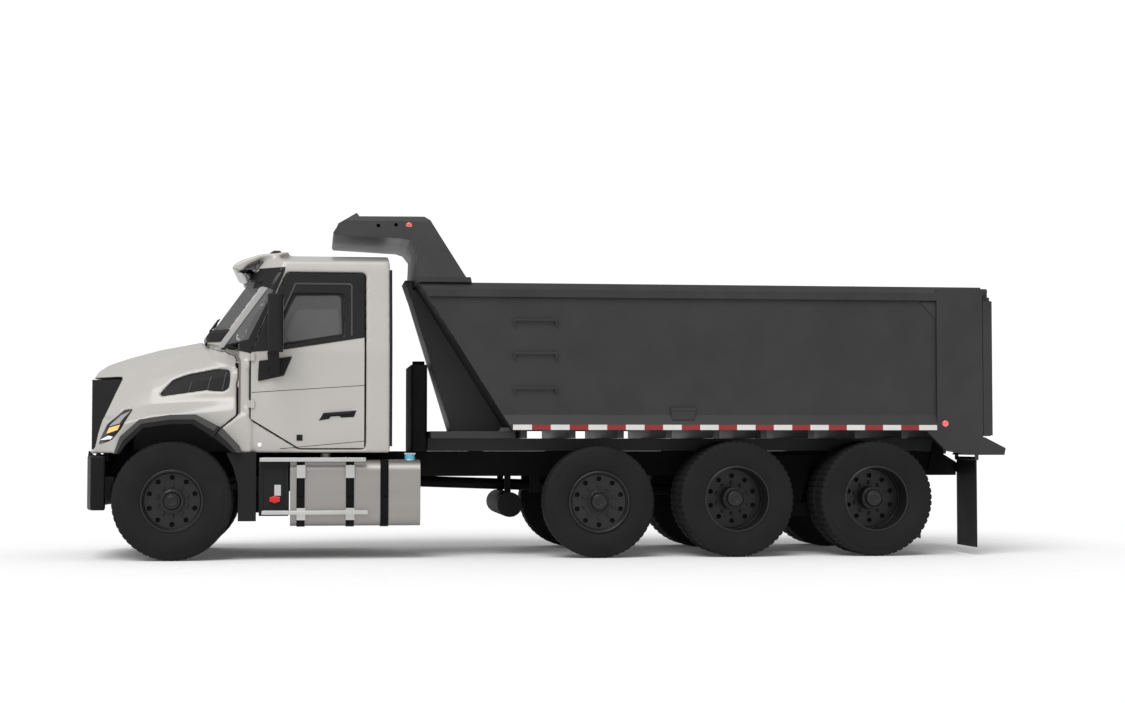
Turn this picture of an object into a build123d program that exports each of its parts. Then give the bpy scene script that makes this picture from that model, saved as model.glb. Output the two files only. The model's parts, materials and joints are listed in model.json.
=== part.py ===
from build123d import *
import os
from math import cos, hypot, radians, sin

# A four-axle rigid dump truck, in millimetres. The nose points to -X, the driver's side
# is -Y, and the tyres stand on Z = 0. X = 0 is halfway between the bumper's nose and the
# lip of the body's tail apron. Lengths called _at are measured back from the steering
# axle, and outlines given as (x, z) use the same origin for x.

# Running gear
nose_reach = 865          # steering axle to the bumper's nose
tail_reach = 7993         # steering axle to the apron's lip
pusher_at = 3996
drive_1_at = 5332
drive_spacing = 1372
outer_y = 1220            # half the width over the tyres and the body
twin_spacing = 335        # between the two tyres of a driven wheel
fit_gap = 0.3             # around pins, spindles and seated glass
seam_gap = 10             # around the doors
panel_gap = 9             # between the hood and the cab

steer_x = (nose_reach - tail_reach) / 2
drive_2_at = drive_1_at + drive_spacing

# Chassis rails
rail_y = (350, 430)
rail_z = (767, 1007)
rail_web = 10
rail_flange = 12
rail_front_at = -700
rail_rear_at = 7749
rail_cut = (175, 104)     # length and depth of the cut at the rails' tail

# Steering
kingpin_y = 960
steer_z = 554
tie_arm = 150             # kingpin to the tie rod's pin
tie_rod_z = 490

# Cab
cab_front_at = 600
cab_rear_at = 2016
cab_wall = 40
cab_bottom_z = 1001
cab_floor_z = 1085
cab_half = 1100
cab_roof_half = 975
belt_z = 1950
gutter_z = 2735
roof_z = 2928
windshield_foot = (249, 2130)
windshield_head = (638, 2668)
glass_depth = 12
glass_thick = 6
door_hinge_at = 700
door_hinge_y = 1112

# Hood
hood_skin = 30
hood_pivot_at = -830
hood_pivot_z = 1000
hood_bottom_z = 992
fender_y = 1130

# Body
lift_angle = 45           # the body's full tilt
tilt_at = 7560            # the body's rear pivot
tilt_z = 1060
hoist_reach = 5187        # rear pivot to the hoist's top pin
hoist_slope = 11.68       # degrees from the rear pivot up to that pin
hoist_stages = 4
wall_top = (2258, 2656)   # upper and lower end of the sloping front wall
wall_foot = (3166, 1216)
wall_thick = 45
sheet_half = 1185
side_top_z = 2611
sill_z = (1012, 1136)
sill_y = (350, 427)
floor_z = (1250, 1275)
gate_at = 7767            # rear face of the posts
gate_thick = 70
gate_hinge_z = 2565


def station(distance):
    """X of a place that lies this far behind the steering axle."""
    return steer_x + distance


def shifted(points):
    """Outline points with x measured from the steering axle, as model (x, z) points."""
    return [(station(x), z) for x, z in points]


def side_plate(points, y_from, y_to, mode=Mode.ADD):
    """Plate between two y planes. Its outline is (x behind the steering axle, z)."""
    with BuildSketch(Plane.XZ.offset(-y_from)) as outline:
        with BuildLine():
            Polyline(*shifted(points), close=True)
        make_face()
    extrude(outline.sketch, amount=y_from - y_to, mode=mode)


def cross_plate(points, x_from, x_to, mode=Mode.ADD):
    """Plate between two stations. Its outline is (y, z)."""
    with BuildSketch(Plane.YZ.offset(station(x_from))) as outline:
        with BuildLine():
            Polyline(*points, close=True)
        make_face()
    extrude(outline.sketch, amount=x_to - x_from, mode=mode)


def plan_plate(points, z_from, z_to, mode=Mode.ADD):
    """Plate between two heights. Its outline is (x behind the steering axle, y)."""
    with BuildSketch(Plane.XY.offset(z_from)) as outline:
        with BuildLine():
            Polyline(*shifted(points), close=True)
        make_face()
    extrude(outline.sketch, amount=z_to - z_from, mode=mode)


def block(x, y, z, mode=Mode.ADD):
    """Box from (low, high) pairs, with x measured from the steering axle."""
    with Locations((station(sum(x) / 2), sum(y) / 2, sum(z) / 2)):
        Box(x[1] - x[0], y[1] - y[0], z[1] - z[0], mode=mode)


def span(side, near, far):
    """Range of y between two distances from the middle of the truck, on the side -1 or 1."""
    return min(side * near, side * far), max(side * near, side * far)


def rod(start, end, radius, mode=Mode.ADD, sides=0):
    """Bar between two points, with x measured from the steering axle. It is round, or has sides."""
    first = Vector(station(start[0]), start[1], start[2])
    along = Vector(station(end[0]), end[1], end[2]) - first
    with BuildSketch(Plane(origin=first, z_dir=along)) as bar_face:
        if sides:
            RegularPolygon(radius, sides)
        else:
            Circle(radius)
    extrude(bar_face.sketch, amount=along.length, mode=mode)


def mirrored(points):
    """Closed (y, z) outline from the half with y >= 0, listed from the bottom up."""
    return points + [(-y, z) for y, z in reversed(points) if y]


pieces = {}


def keep(name, builder):
    """Notes a finished piece under its own name."""
    pieces[name] = builder.part


def keep_both(name, builder):
    """Notes a left piece and its mirror image on the right."""
    keep(f"{name}_left", builder)
    with BuildPart() as other:
        mirror(builder.part, about=Plane.XZ)
    keep(f"{name}_right", other)


# Wheels. Columns: name, station, tyre radius, tyre width, bead radius, twin tyres,
# disc face measured outwards from the outer tyre's middle plane, spindle radius,
# hub's depth behind the disc face and its reach in front of it
wheel_table = [
    ("steer", 0, 554, 425, 286, False, 103, 40, 85, 32),
    ("pusher", pusher_at, 533, 285, 286, False, 90, 40, 150, 16),
    ("drive_1", drive_1_at, 556, 279, 311, True, -150, 60, 150, 150),
    ("drive_2", drive_2_at, 556, 279, 311, True, -150, 60, 150, 150),
]
wheel_sides = 30          # flats around a tyre and its rim
tyre_foot = 0.80          # bead width as a share of the tyre's width
tread_share = 0.86
sidewall_share = 0.48     # widest point, as a share of the sidewall's height
bead_foot = 14            # thickness of a tyre at its bead
rim_wall = 13
rim_overhang = 12
disc_thick = 14
hand_hole_radius = 25
hand_hole_circle = 219
hand_holes = 10
hub_radius = 112
hub_sides = 20
cap_radius = 72
cap_reach = 30
spindle_reach = 90        # how far a spindle enters its hub


def wheel_plane(at, axle_height, out):
    """Plane across a left wheel's axis, at a distance outwards from the middle of the truck."""
    return Plane(origin=(station(at), -out, axle_height), x_dir=(1, 0, 0), z_dir=(0, -1, 0))


def ring(at, axle_height, out_from, out_to, flat_radius, sides, mode=Mode.ADD):
    """Many-sided disc about a wheel's axis, its radius measured to the flats."""
    with BuildSketch(wheel_plane(at, axle_height, out_from)) as disc:
        RegularPolygon(flat_radius, sides, major_radius=False)
    extrude(disc.sketch, amount=out_to - out_from, mode=mode)


def tyre_ring(at, middle, width, radius, bead):
    """One tyre, from bead to bead over its side walls and tread."""
    half = width / 2
    widest = bead + sidewall_share * (radius - bead)
    half_profile = [(tyre_foot * half, bead + bead_foot), (half, widest), (tread_share * half, radius)]
    profile = [(-out, height) for out, height in half_profile] + half_profile[::-1]
    sections = []
    for out, height in profile:
        with BuildSketch(wheel_plane(at, radius, middle + out)) as section:
            RegularPolygon(height, wheel_sides, major_radius=False)
        sections.append(section.sketch.face())
    loft(sections, ruled=True)
    ring(at, radius, middle - half, middle + half, bead, wheel_sides, mode=Mode.SUBTRACT)


for name, at, radius, width, bead, twin, disc_out, spindle_r, hub_depth, hub_reach in wheel_table:
    outer_middle = outer_y - width / 2
    inner_middle = outer_middle - (twin_spacing if twin else 0)
    foot = tyre_foot * width / 2
    rim_out = outer_middle + foot + rim_overhang
    rim_in = inner_middle - foot - rim_overhang
    disc_face = outer_middle + disc_out
    hub_in = disc_face - hub_depth
    hub_out = disc_face + hub_reach
    with BuildPart() as tyre:
        for middle in {outer_middle, inner_middle}:
            tyre_ring(at, middle, width, radius, bead)
    keep_both(f"{name}_tyre", tyre)
    with BuildPart() as rim:
        ring(at, radius, rim_in, rim_out, bead - fit_gap, wheel_sides)
        ring(at, radius, rim_in, rim_out, bead - rim_wall, wheel_sides, mode=Mode.SUBTRACT)
        ring(at, radius, disc_face - disc_thick, disc_face, bead - rim_wall / 2, wheel_sides)
        for hole in range(hand_holes):
            angle = radians(360 / hand_holes * (hole + 0.5))
            x_hole = at + hand_hole_circle * cos(angle)
            z_hole = radius + hand_hole_circle * sin(angle)
            rod((x_hole, disc_thick + 5 - disc_face, z_hole), (x_hole, -disc_face - 5, z_hole),
                hand_hole_radius, mode=Mode.SUBTRACT, sides=8)
        ring(at, radius, hub_in, hub_out, hub_radius, hub_sides)
        ring(at, radius, hub_out, hub_out + cap_reach, cap_radius, hub_sides)
        rod((at, -hub_in, radius), (at, -hub_in - spindle_reach - 5, radius), spindle_r + fit_gap,
            mode=Mode.SUBTRACT)
    keep_both(f"{name}_rim", rim)

hub_face = {row[0]: outer_y - row[3] / 2 + row[6] - row[8] for row in wheel_table}
axle_z = {row[0]: row[2] for row in wheel_table}
spindle_radius = {row[0]: row[7] for row in wheel_table}

# Chassis frame: two channel rails, cross members, cab mounts, body pivot ears, hoist base
tail_cut_x, tail_cut_z = rail_cut
rail_outline = [
    (rail_front_at, rail_z[0]), (rail_rear_at, rail_z[0]),
    (rail_rear_at, rail_z[1] - tail_cut_z), (rail_rear_at - tail_cut_x, rail_z[1]),
    (rail_front_at, rail_z[1]),
]
cross_members = [(-640, 60), (2080, 90), (3700, 90), (5332, 110), (6018, 160), (6704, 110), (7640, 90)]
ear_y = (rail_y[1], 461)
ear_radius = 45
mount_pads = [(720, 60), (1940, 60)]
lift = radians(lift_angle)
slope = radians(hoist_slope)
hoist_foot_reach = hoist_reach * (sin(slope + lift) - sin(slope)) / sin(lift)
hoist_top = (tilt_at - hoist_reach * cos(slope), tilt_z + hoist_reach * sin(slope))
hoist_foot = (tilt_at - hoist_foot_reach, tilt_z)
hoist_closed = hypot(hoist_top[0] - hoist_foot[0], hoist_top[1] - hoist_foot[1])
hoist_dir = ((hoist_foot[0] - hoist_top[0]) / hoist_closed, (hoist_foot[1] - hoist_top[1]) / hoist_closed)
boss_radius = 45
boss_half = 68
foot_ear_y = (boss_half + 1, boss_half + 27)
with BuildPart() as frame:
    side_plate(rail_outline, -rail_y[0], -rail_y[1])
    side_plate([
        (rail_front_at - 1, rail_z[0] + rail_flange),
        (rail_rear_at + 1, rail_z[0] + rail_flange),
        (rail_rear_at + 1, rail_z[1] - tail_cut_z - rail_flange),
        (rail_rear_at - tail_cut_x, rail_z[1] - rail_flange),
        (rail_front_at - 1, rail_z[1] - rail_flange),
    ], -rail_y[0], -rail_y[1] + rail_web, mode=Mode.SUBTRACT)
    for middle, length in cross_members:
        block((middle - length / 2, middle + length / 2), (-rail_y[1] + rail_web, 0),
              (rail_z[0] + rail_flange + 8, rail_z[1] - tail_cut_z - rail_flange - 8))
    block((hoist_foot[0] - 90, hoist_foot[0] + 90), (-rail_y[1] + rail_web, 0), (rail_z[0] + 20, 940))
    side_plate([
        (hoist_foot[0] - 80, 939), (hoist_foot[0] + 80, 939),
        (hoist_foot[0] + ear_radius, hoist_foot[1] + ear_radius),
        (hoist_foot[0] - ear_radius, hoist_foot[1] + ear_radius),
    ], -foot_ear_y[0], -foot_ear_y[1])
    side_plate([
        (tilt_at - 110, rail_z[0] + 60), (tilt_at + 60, rail_z[0] + 60),
        (tilt_at + ear_radius, tilt_z + ear_radius), (tilt_at - ear_radius, tilt_z + ear_radius),
    ], -ear_y[0], -ear_y[1])
    rod((tilt_at, -ear_y[1], tilt_z), (tilt_at, -rail_y[0] + 5, tilt_z), 30)
    for middle, length in mount_pads:
        block((middle - length / 2, middle + length / 2), (-rail_y[1], -rail_y[0]),
              (rail_z[1], cab_floor_z - fit_gap))
    mirror(about=Plane.XZ)
keep("frame", frame)


def on_hoist(along, across=0):
    """(x, z) of a point beside the hoist's axis, measured from its top pin."""
    return (hoist_top[0] + hoist_dir[0] * along - hoist_dir[1] * across,
            hoist_top[1] + hoist_dir[1] * along + hoist_dir[0] * across)


# Steering axle: a dropped I beam with a kingpin boss at each end
boss_z = 55
beam_half = 42
beam_outline = mirrored([
    (0, 415), (500, 415), (780, steer_z - 46), (kingpin_y - 20, steer_z - 46),
    (kingpin_y - 20, steer_z + 46), (760, steer_z + 46), (520, 505), (0, 505),
])
with BuildPart() as front_axle:
    with BuildSketch(Plane.YZ.offset(station(-beam_half))) as beam:
        with BuildLine():
            Polyline(*beam_outline, close=True)
        make_face()
    extrude(beam.sketch, amount=2 * beam_half)
    with BuildSketch(Plane.YZ.offset(station(-beam_half))) as pocket:
        with BuildLine():
            Polyline(*beam_outline, close=True)
        make_face()
        offset(amount=-18, kind=Kind.INTERSECTION)
    extrude(pocket.sketch, amount=beam_half - 8, mode=Mode.SUBTRACT)
    with BuildSketch(Plane.YZ.offset(station(8))) as rear_pocket:
        with BuildLine():
            Polyline(*beam_outline, close=True)
        make_face()
        offset(amount=-18, kind=Kind.INTERSECTION)
    extrude(rear_pocket.sketch, amount=beam_half - 8, mode=Mode.SUBTRACT)
    for side in (-1, 1):
        rod((0, side * kingpin_y, steer_z - boss_z), (0, side * kingpin_y, steer_z + boss_z), 48)
        rod((0, side * kingpin_y, steer_z - boss_z), (0, side * kingpin_y, steer_z + boss_z),
            22 + fit_gap, mode=Mode.SUBTRACT)
keep("front_axle", front_axle)

# Steering knuckle: yoke over the boss, spindle into the hub, arm to the tie rod
yoke_z = (boss_z + fit_gap, 98)
with BuildPart() as knuckle:
    rod((0, -kingpin_y, steer_z - yoke_z[1]), (0, -kingpin_y, steer_z + yoke_z[1]), 22)
    for low, high in ((-yoke_z[1], -yoke_z[0]), yoke_z):
        rod((0, -kingpin_y, steer_z + low), (0, -kingpin_y, steer_z + high), 48, sides=12)
        block((-46, 46), (-kingpin_y - 60, -kingpin_y), (steer_z + low, steer_z + high))
    block((-70, 70), (-hub_face["steer"] + 5, -kingpin_y - 49), (steer_z - yoke_z[1], steer_z + yoke_z[1]))
    rod((0, -kingpin_y - 60, steer_z), (0, -hub_face["steer"] - spindle_reach, steer_z),
        spindle_radius["steer"])
    block((0, tie_arm), (-kingpin_y - 24, -kingpin_y + 24), (tie_rod_z - 50, tie_rod_z - 18))
    rod((0, -kingpin_y, tie_rod_z - 50), (0, -kingpin_y, steer_z - yoke_z[1] + 2), 46, sides=12)
    rod((tie_arm, -kingpin_y, tie_rod_z - 50), (tie_arm, -kingpin_y, tie_rod_z - 18), 26, sides=12)
    rod((tie_arm, -kingpin_y, tie_rod_z - 20), (tie_arm, -kingpin_y, tie_rod_z + 22), 12)
keep_both("knuckle", knuckle)

with BuildPart() as tie_rod:
    rod((tie_arm, -kingpin_y + 20, tie_rod_z), (tie_arm, kingpin_y - 20, tie_rod_z), 16, sides=8)
    for side in (-1, 1):
        rod((tie_arm, side * kingpin_y, tie_rod_z - 17.7), (tie_arm, side * kingpin_y, tie_rod_z + 18), 26)
        rod((tie_arm, side * kingpin_y, tie_rod_z - 18), (tie_arm, side * kingpin_y, tie_rod_z + 19),
            12 + fit_gap, mode=Mode.SUBTRACT)
keep("tie_rod", tie_rod)

# Leaf springs on the steering axle: three leaves, hangers, clamp plate and U-bolts
spring_y = (rail_y[0] + 5, rail_y[1] - 5)
leaf_table = [(560, 660, 0), (380, 440, 1), (220, 240, 2)]  # front reach, rear reach, rank
leaf_thick = 26
with BuildPart() as leaf_springs:
    for front, rear, rank in leaf_table:
        top = 505 + fit_gap + leaf_thick * (3 - rank)
        rise_front = 0.32 * (front - 100)
        rise_rear = 0.32 * (rear - 100)
        side_plate([
            (-front, top + rise_front), (-100, top), (100, top), (rear, top + rise_rear),
            (rear, top + rise_rear - leaf_thick), (100, top - leaf_thick),
            (-100, top - leaf_thick), (-front, top + rise_front - leaf_thick),
        ], -spring_y[0], -spring_y[1])
    block((-600, -520), (-spring_y[1], -spring_y[0]), (700, rail_z[0] - fit_gap))
    block((630, 700), (-spring_y[1], -spring_y[0]), (730, rail_z[0] - fit_gap))
    block((-80, 80), (-spring_y[1] - 22, -spring_y[0] + 22), (583, 600))
    block((-80, 80), (-spring_y[1] - 22, -spring_y[0] + 22), (396, 415 - fit_gap))
    for x_bolt in (-58, 58):
        for y_bolt in (spring_y[0] - 12, spring_y[1] + 12):
            rod((x_bolt, -y_bolt, 405), (x_bolt, -y_bolt, 612), 10, sides=6)
    mirror(about=Plane.XZ)
keep("leaf_springs", leaf_springs)

# Pusher axle: straight tube, spindles, trailing arms and air springs
pusher_z = axle_z["pusher"]
with BuildPart() as pusher_axle:
    rod((pusher_at, 0, pusher_z), (pusher_at, -hub_face["pusher"] + 8, pusher_z), 62, sides=12)
    rod((pusher_at, 0, pusher_z), (pusher_at, -hub_face["pusher"] - spindle_reach, pusher_z),
        spindle_radius["pusher"])
    side_plate([
        (pusher_at - 560, 640), (pusher_at - 500, 700), (pusher_at + 80, pusher_z + 78),
        (pusher_at + 80, pusher_z + 50), (pusher_at - 80, pusher_z + 50),
    ], -rail_y[0] - 10, -rail_y[1] + 10)
    block((pusher_at - 580, pusher_at - 480), (-rail_y[1], -rail_y[0]), (600, rail_z[0] - fit_gap))
    rod((pusher_at, -390, pusher_z + 60), (pusher_at, -390, rail_z[0] - fit_gap), 75, sides=16)
    mirror(about=Plane.XZ)
keep("pusher_axle", pusher_axle)

# Driven axles: housings with a differential bowl, walking beams and propeller shafts
drive_z = axle_z["drive_1"]
beam_y = (470, 560)
saddle_at = (drive_1_at + drive_2_at) / 2
bowl_radius = 205
bowl_table = [(-150, 120), (-95, bowl_radius), (60, bowl_radius), (130, 95)]  # station, radius
with BuildPart() as drive_axles:
    for at in (drive_1_at, drive_2_at):
        rod((at, 0, drive_z), (at, -hub_face["drive_1"] + 8, drive_z), 76, sides=12)
        rod((at, 0, drive_z), (at, -hub_face["drive_1"] - spindle_reach, drive_z),
            spindle_radius["drive_1"])
        bowl_sections = []
        for x_bowl, bowl in bowl_table:
            with BuildSketch(Plane.YZ.offset(station(at + x_bowl))) as bowl_section:
                with Locations((0, drive_z)):
                    RegularPolygon(bowl, 16)
            bowl_sections.append(bowl_section.sketch.face())
        loft(bowl_sections, ruled=True)
        rod((at - 330, 0, drive_z + 60), (at, 0, drive_z), 80, sides=12)
        # Brake chambers beside the bowl
        rod((at + 60, -420, drive_z + 40), (at + 220, -420, drive_z + 40), 78, sides=12)
        block((at - 20, at + 70), (-450, -390), (drive_z - 10, drive_z + 70))
    side_plate([
        (drive_1_at - 70, drive_z - 60), (drive_2_at + 70, drive_z - 60),
        (drive_2_at + 70, drive_z - 130), (saddle_at + 180, drive_z - 190),
        (saddle_at - 180, drive_z - 190), (drive_1_at - 70, drive_z - 130),
    ], -beam_y[0], -beam_y[1])
    side_plate([
        (saddle_at - 90, drive_z - 80), (saddle_at + 90, drive_z - 80),
        (saddle_at + 240, rail_z[1] - 40), (saddle_at - 240, rail_z[1] - 40),
    ], -rail_y[1] - fit_gap, -beam_y[1] + 30)
    mirror(about=Plane.XZ)
    rod((1504, 0, 740), (drive_1_at - 325, 0, drive_z + 60), 55, sides=12)
    rod((drive_1_at + 100, 0, drive_z + 60), (drive_2_at - 325, 0, drive_z + 60), 50, sides=12)
keep("drive_axles", drive_axles)

# Engine and gearbox as plain blocks, and the radiator in front of them
with BuildPart() as engine:
    block((-430, 560), (-300, 300), (640, 1640))
    block((560, 1500), (-230, 230), (620, 1000))
    for side in (-1, 1):
        block((0, 120), span(side, 300, (rail_y[1] - rail_web - fit_gap)), (820, 880))
keep("engine", engine)

with BuildPart() as radiator:
    block((-590, -470), (-440, 440), (rail_z[1] + fit_gap, 1700))
    block((-590, -470), (-335, 335), (720, rail_z[1] + fit_gap))
    block((-470, -432), (-380, 380), (1010, 1600))
keep("radiator", radiator)

# Bumper: a bowed channel with returned ends, on two brackets, with the hood's pivot lugs
bumper_z = (468, 972)
bumper_half = 1110
bumper_sweep = 120
bumper_wall = 70
lug_y = (325, 350, 353, 378)
pivot_radius = 12
with BuildPart() as bumper:
    with BuildSketch(Plane.XY.offset(bumper_z[0])) as bow:
        with BuildLine():
            ThreePointArc(
                (station(bumper_sweep - nose_reach), -bumper_half), (station(-nose_reach), 0),
                (station(bumper_sweep - nose_reach), bumper_half),
            )
            Line((station(bumper_sweep - nose_reach), bumper_half), (station(-612), bumper_half))
            Line((station(-612), bumper_half), (station(-612), -bumper_half))
            Line((station(-612), -bumper_half), (station(bumper_sweep - nose_reach), -bumper_half))
        make_face()
    extrude(bow.sketch, amount=bumper_z[1] - bumper_z[0])
    with BuildSketch(Plane.XY.offset(bumper_z[0])) as hollow:
        with BuildLine():
            ThreePointArc(
                (station(bumper_sweep - nose_reach + bumper_wall), -bumper_half + 60),
                (station(-nose_reach + bumper_wall), 0),
                (station(bumper_sweep - nose_reach + bumper_wall), bumper_half - 60),
            )
            Line((station(bumper_sweep - nose_reach + bumper_wall), bumper_half - 60),
                 (station(-500), bumper_half - 60))
            Line((station(-500), bumper_half - 60), (station(-500), -bumper_half + 60))
            Line((station(-500), -bumper_half + 60),
                 (station(bumper_sweep - nose_reach + bumper_wall), -bumper_half + 60))
        make_face()
    extrude(hollow.sketch, amount=bumper_z[1] - bumper_z[0], mode=Mode.SUBTRACT)
    for side in (-1, 1):
        block((-800, rail_front_at), span(side, rail_y[0], rail_y[1]), (790, 960))
        for near, far in ((lug_y[0] - 12, lug_y[0]), (lug_y[3], lug_y[3] + 12)):
            low, high = span(side, near, far)
            rod((hood_pivot_at, low, hood_pivot_z), (hood_pivot_at, high, hood_pivot_z), 24)
            block((hood_pivot_at - 20, hood_pivot_at + 20), (low, high), (bumper_z[1] - 6, hood_pivot_z))
        rod((hood_pivot_at, side * (lug_y[0] - 12), hood_pivot_z),
            (hood_pivot_at, side * (lug_y[3] + 12), hood_pivot_z), pivot_radius)
    block((-845, -790), (-230, 230), (620, 820), mode=Mode.SUBTRACT)
keep("bumper", bumper)

# Left side: battery box, fuel tank, straps and steps. Right side: exhaust after-treatment
tank_at = (1085, 2302)
tank_y = (520, 1150)
tank_z = (314, 932)
tank_corner = 110
strap_stations = (1183, 1642, 1964)
strap_width = 76
strap_thick = 8
with BuildPart() as fuel_tank:
    with BuildSketch(Plane.YZ.offset(station(tank_at[0]))) as tank_section:
        with Locations((-(tank_y[0] + tank_y[1]) / 2, (tank_z[0] + tank_z[1]) / 2)):
            RectangleRounded(tank_y[1] - tank_y[0], tank_z[1] - tank_z[0], tank_corner)
    extrude(tank_section.sketch, amount=tank_at[1] - tank_at[0])
    rod((1413, -900, tank_z[1] - 20), (1413, -900, tank_z[1] + 55), 48)
    rod((2208, -1000, tank_z[1] - 20), (2208, -1000, tank_z[1] + 40), 40)
keep("fuel_tank", fuel_tank)

step_table = [(806, 1786, 936), (826, 1806, 443)]  # front, rear, height
with BuildPart() as tank_steps:
    for middle in strap_stations:
        with BuildSketch(Plane.YZ.offset(station(middle - strap_width / 2))) as strap:
            with Locations((-(tank_y[0] + tank_y[1]) / 2, (tank_z[0] + tank_z[1]) / 2)):
                RectangleRounded(tank_y[1] - tank_y[0] + 2 * strap_thick,
                                 tank_z[1] - tank_z[0] + 2 * strap_thick, tank_corner + strap_thick)
                RectangleRounded(tank_y[1] - tank_y[0] + 2 * fit_gap,
                                 tank_z[1] - tank_z[0] + 2 * fit_gap, tank_corner + fit_gap,
                                 mode=Mode.SUBTRACT)
        extrude(strap.sketch, amount=strap_width)
        block((middle - 30, middle + 30), (-tank_y[0] + strap_thick / 2, -rail_y[1] - fit_gap),
              (tank_z[0] + 80, rail_z[1] - 30))
        block((middle - 25, middle + 25), (-tank_y[1] - 24, -tank_y[1] - strap_thick + 1), (600, 930))
    for front, rear, height in step_table:
        block((front, rear), (-tank_y[1] - 60, -tank_y[1] - strap_thick), (height - 16, height + 16))
keep("tank_steps", tank_steps)

with BuildPart() as battery_box:
    block((796, 1069), (-1130, -520), (411, 915))
    block((830, 1040), (-520, -rail_y[1] - fit_gap), (780, 860))
keep("battery_box", battery_box)

with BuildPart() as exhaust_box:
    with BuildSketch(Plane.YZ.offset(station(1085))) as box_section:
        with Locations((820, 640)):
            RectangleRounded(600, 560, 60)
    extrude(box_section.sketch, amount=900)
    block((1150, 1230), (rail_y[1] + fit_gap, 530), (780, 860))
    block((1800, 1880), (rail_y[1] + fit_gap, 530), (780, 860))
    rod((1500, 820, 900), (1500, 820, 960), 60)
keep("exhaust_box", exhaust_box)

with BuildPart() as air_tanks:
    rod((3198, -640, 492), (3198, 640, 492), 121, sides=20)
    for side in (-1, 1):
        block((3168, 3228), (side * 390 - 20, side * 390 + 20), (600, rail_z[0] - fit_gap))
keep("air_tanks", air_tanks)

with BuildPart() as hydraulic_tank:
    block((2240, 2395), (-600, 600), (rail_z[1] + fit_gap, 1852))
    rod((2318, -400, 1850), (2318, -400, 1890), 60)
    fillet(hydraulic_tank.edges().filter_by(Axis.Z), 30)
keep("hydraulic_tank", hydraulic_tank)

# Cab shell: a side view, a front view and a plan that leans with the windshield, all cut
# from one another, once at the skin and once a wall's thickness inside
lean = (windshield_head[0] - windshield_foot[0]) / (windshield_head[1] - windshield_foot[1])
cowl_z = 1985
cowl_step_at = (240, 2118)
roof_line = [(1055, 2917), (cab_rear_at, roof_z)]
seam_plan = [(216, 0), (290, 800), (330, 900), (450, 955), (585, 1010), (591, 1200)]


def cab_solid(inset):
    """The cab's closed outer form, its faces moved inwards by inset."""
    side_view = [
        (cab_front_at, cab_bottom_z), (cab_front_at, 1960), (262, 2040), cowl_step_at,
        (775, windshield_foot[1] + (775 - windshield_foot[0]) / lean), *roof_line,
        (cab_rear_at, cab_bottom_z),
    ]
    front_view = mirrored([
        (0, cab_floor_z), (620, cab_floor_z), (620, cab_bottom_z), (cab_half - 12, cab_bottom_z),
        (cab_half, 1160), (cab_half, belt_z), (cab_roof_half, gutter_z),
        (cab_roof_half - 22, 2822), (600, 2895), (0, roof_z),
    ])
    base = 1900
    foot = windshield_foot[0] + (base - windshield_foot[1]) * lean
    plan_half = [(0, 0), (72, 800), (331, 1000), (470, 1120), (470, 1400), (3200, 1400)]
    plan = [(foot + x, y) for x, y in plan_half] + [(foot + x, -y) for x, y in reversed(plan_half[1:])]
    with BuildPart() as envelope:
        with BuildSketch(Plane.XY.offset(base)) as upper:
            with BuildLine():
                Polyline(*shifted(plan), close=True)
            make_face()
            if inset:
                offset(amount=-inset, kind=Kind.INTERSECTION)
        extrude(upper.sketch, amount=1200 * hypot(1, lean), dir=(lean, 0, 1))
        seam = [(x + panel_gap, y) for x, y in seam_plan] + [(3500, 1200)]
        seam += [(x, -y) for x, y in reversed(seam)]
        plan_plate(seam[:-1], base - 50, base + 1400, mode=Mode.INTERSECT)
        block((cab_front_at + inset, 3000), (-1300, 1300), (900, cowl_z))
    with BuildPart() as solid:
        with BuildSketch(Plane.XZ.offset(-1500)) as side_sketch:
            with BuildLine():
                Polyline(*shifted(side_view), close=True)
            make_face()
            if inset:
                offset(amount=-inset, kind=Kind.INTERSECTION)
        extrude(side_sketch.sketch, amount=3000)
        with BuildSketch(Plane.YZ.offset(station(-200))) as front_sketch:
            with BuildLine():
                Polyline(*front_view, close=True)
            make_face()
            if inset:
                offset(amount=-inset, kind=Kind.INTERSECTION)
        extrude(front_sketch.sketch, amount=3200, mode=Mode.INTERSECT)
        add(envelope.part, mode=Mode.INTERSECT)
    return solid.part


cab_skin = cab_solid(0)
cab_inside = cab_solid(cab_wall)
door_outline = [(706, 1313), (706, 1935), (1040, 2708), (1784, 2708), (1784, 1033), (1164, 1033)]
window_outline = [(872, 1985), (1091, 2508), (1590, 2508), (1590, 2092)]
windshield_cut = [(180, 2165), (560, 2165), (905, 2640), (525, 2640)]
windshield_half = 905
rear_window = (-520, 520, 2150, 2560)


def outline_face(points, inset, plane):
    """A closed outline in the side view, its edges moved inwards by inset."""
    with BuildSketch(plane) as face:
        with BuildLine():
            Polyline(*shifted(points), close=True)
        make_face()
        if inset:
            offset(amount=-inset, kind=Kind.INTERSECTION)
    return face.sketch


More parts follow.
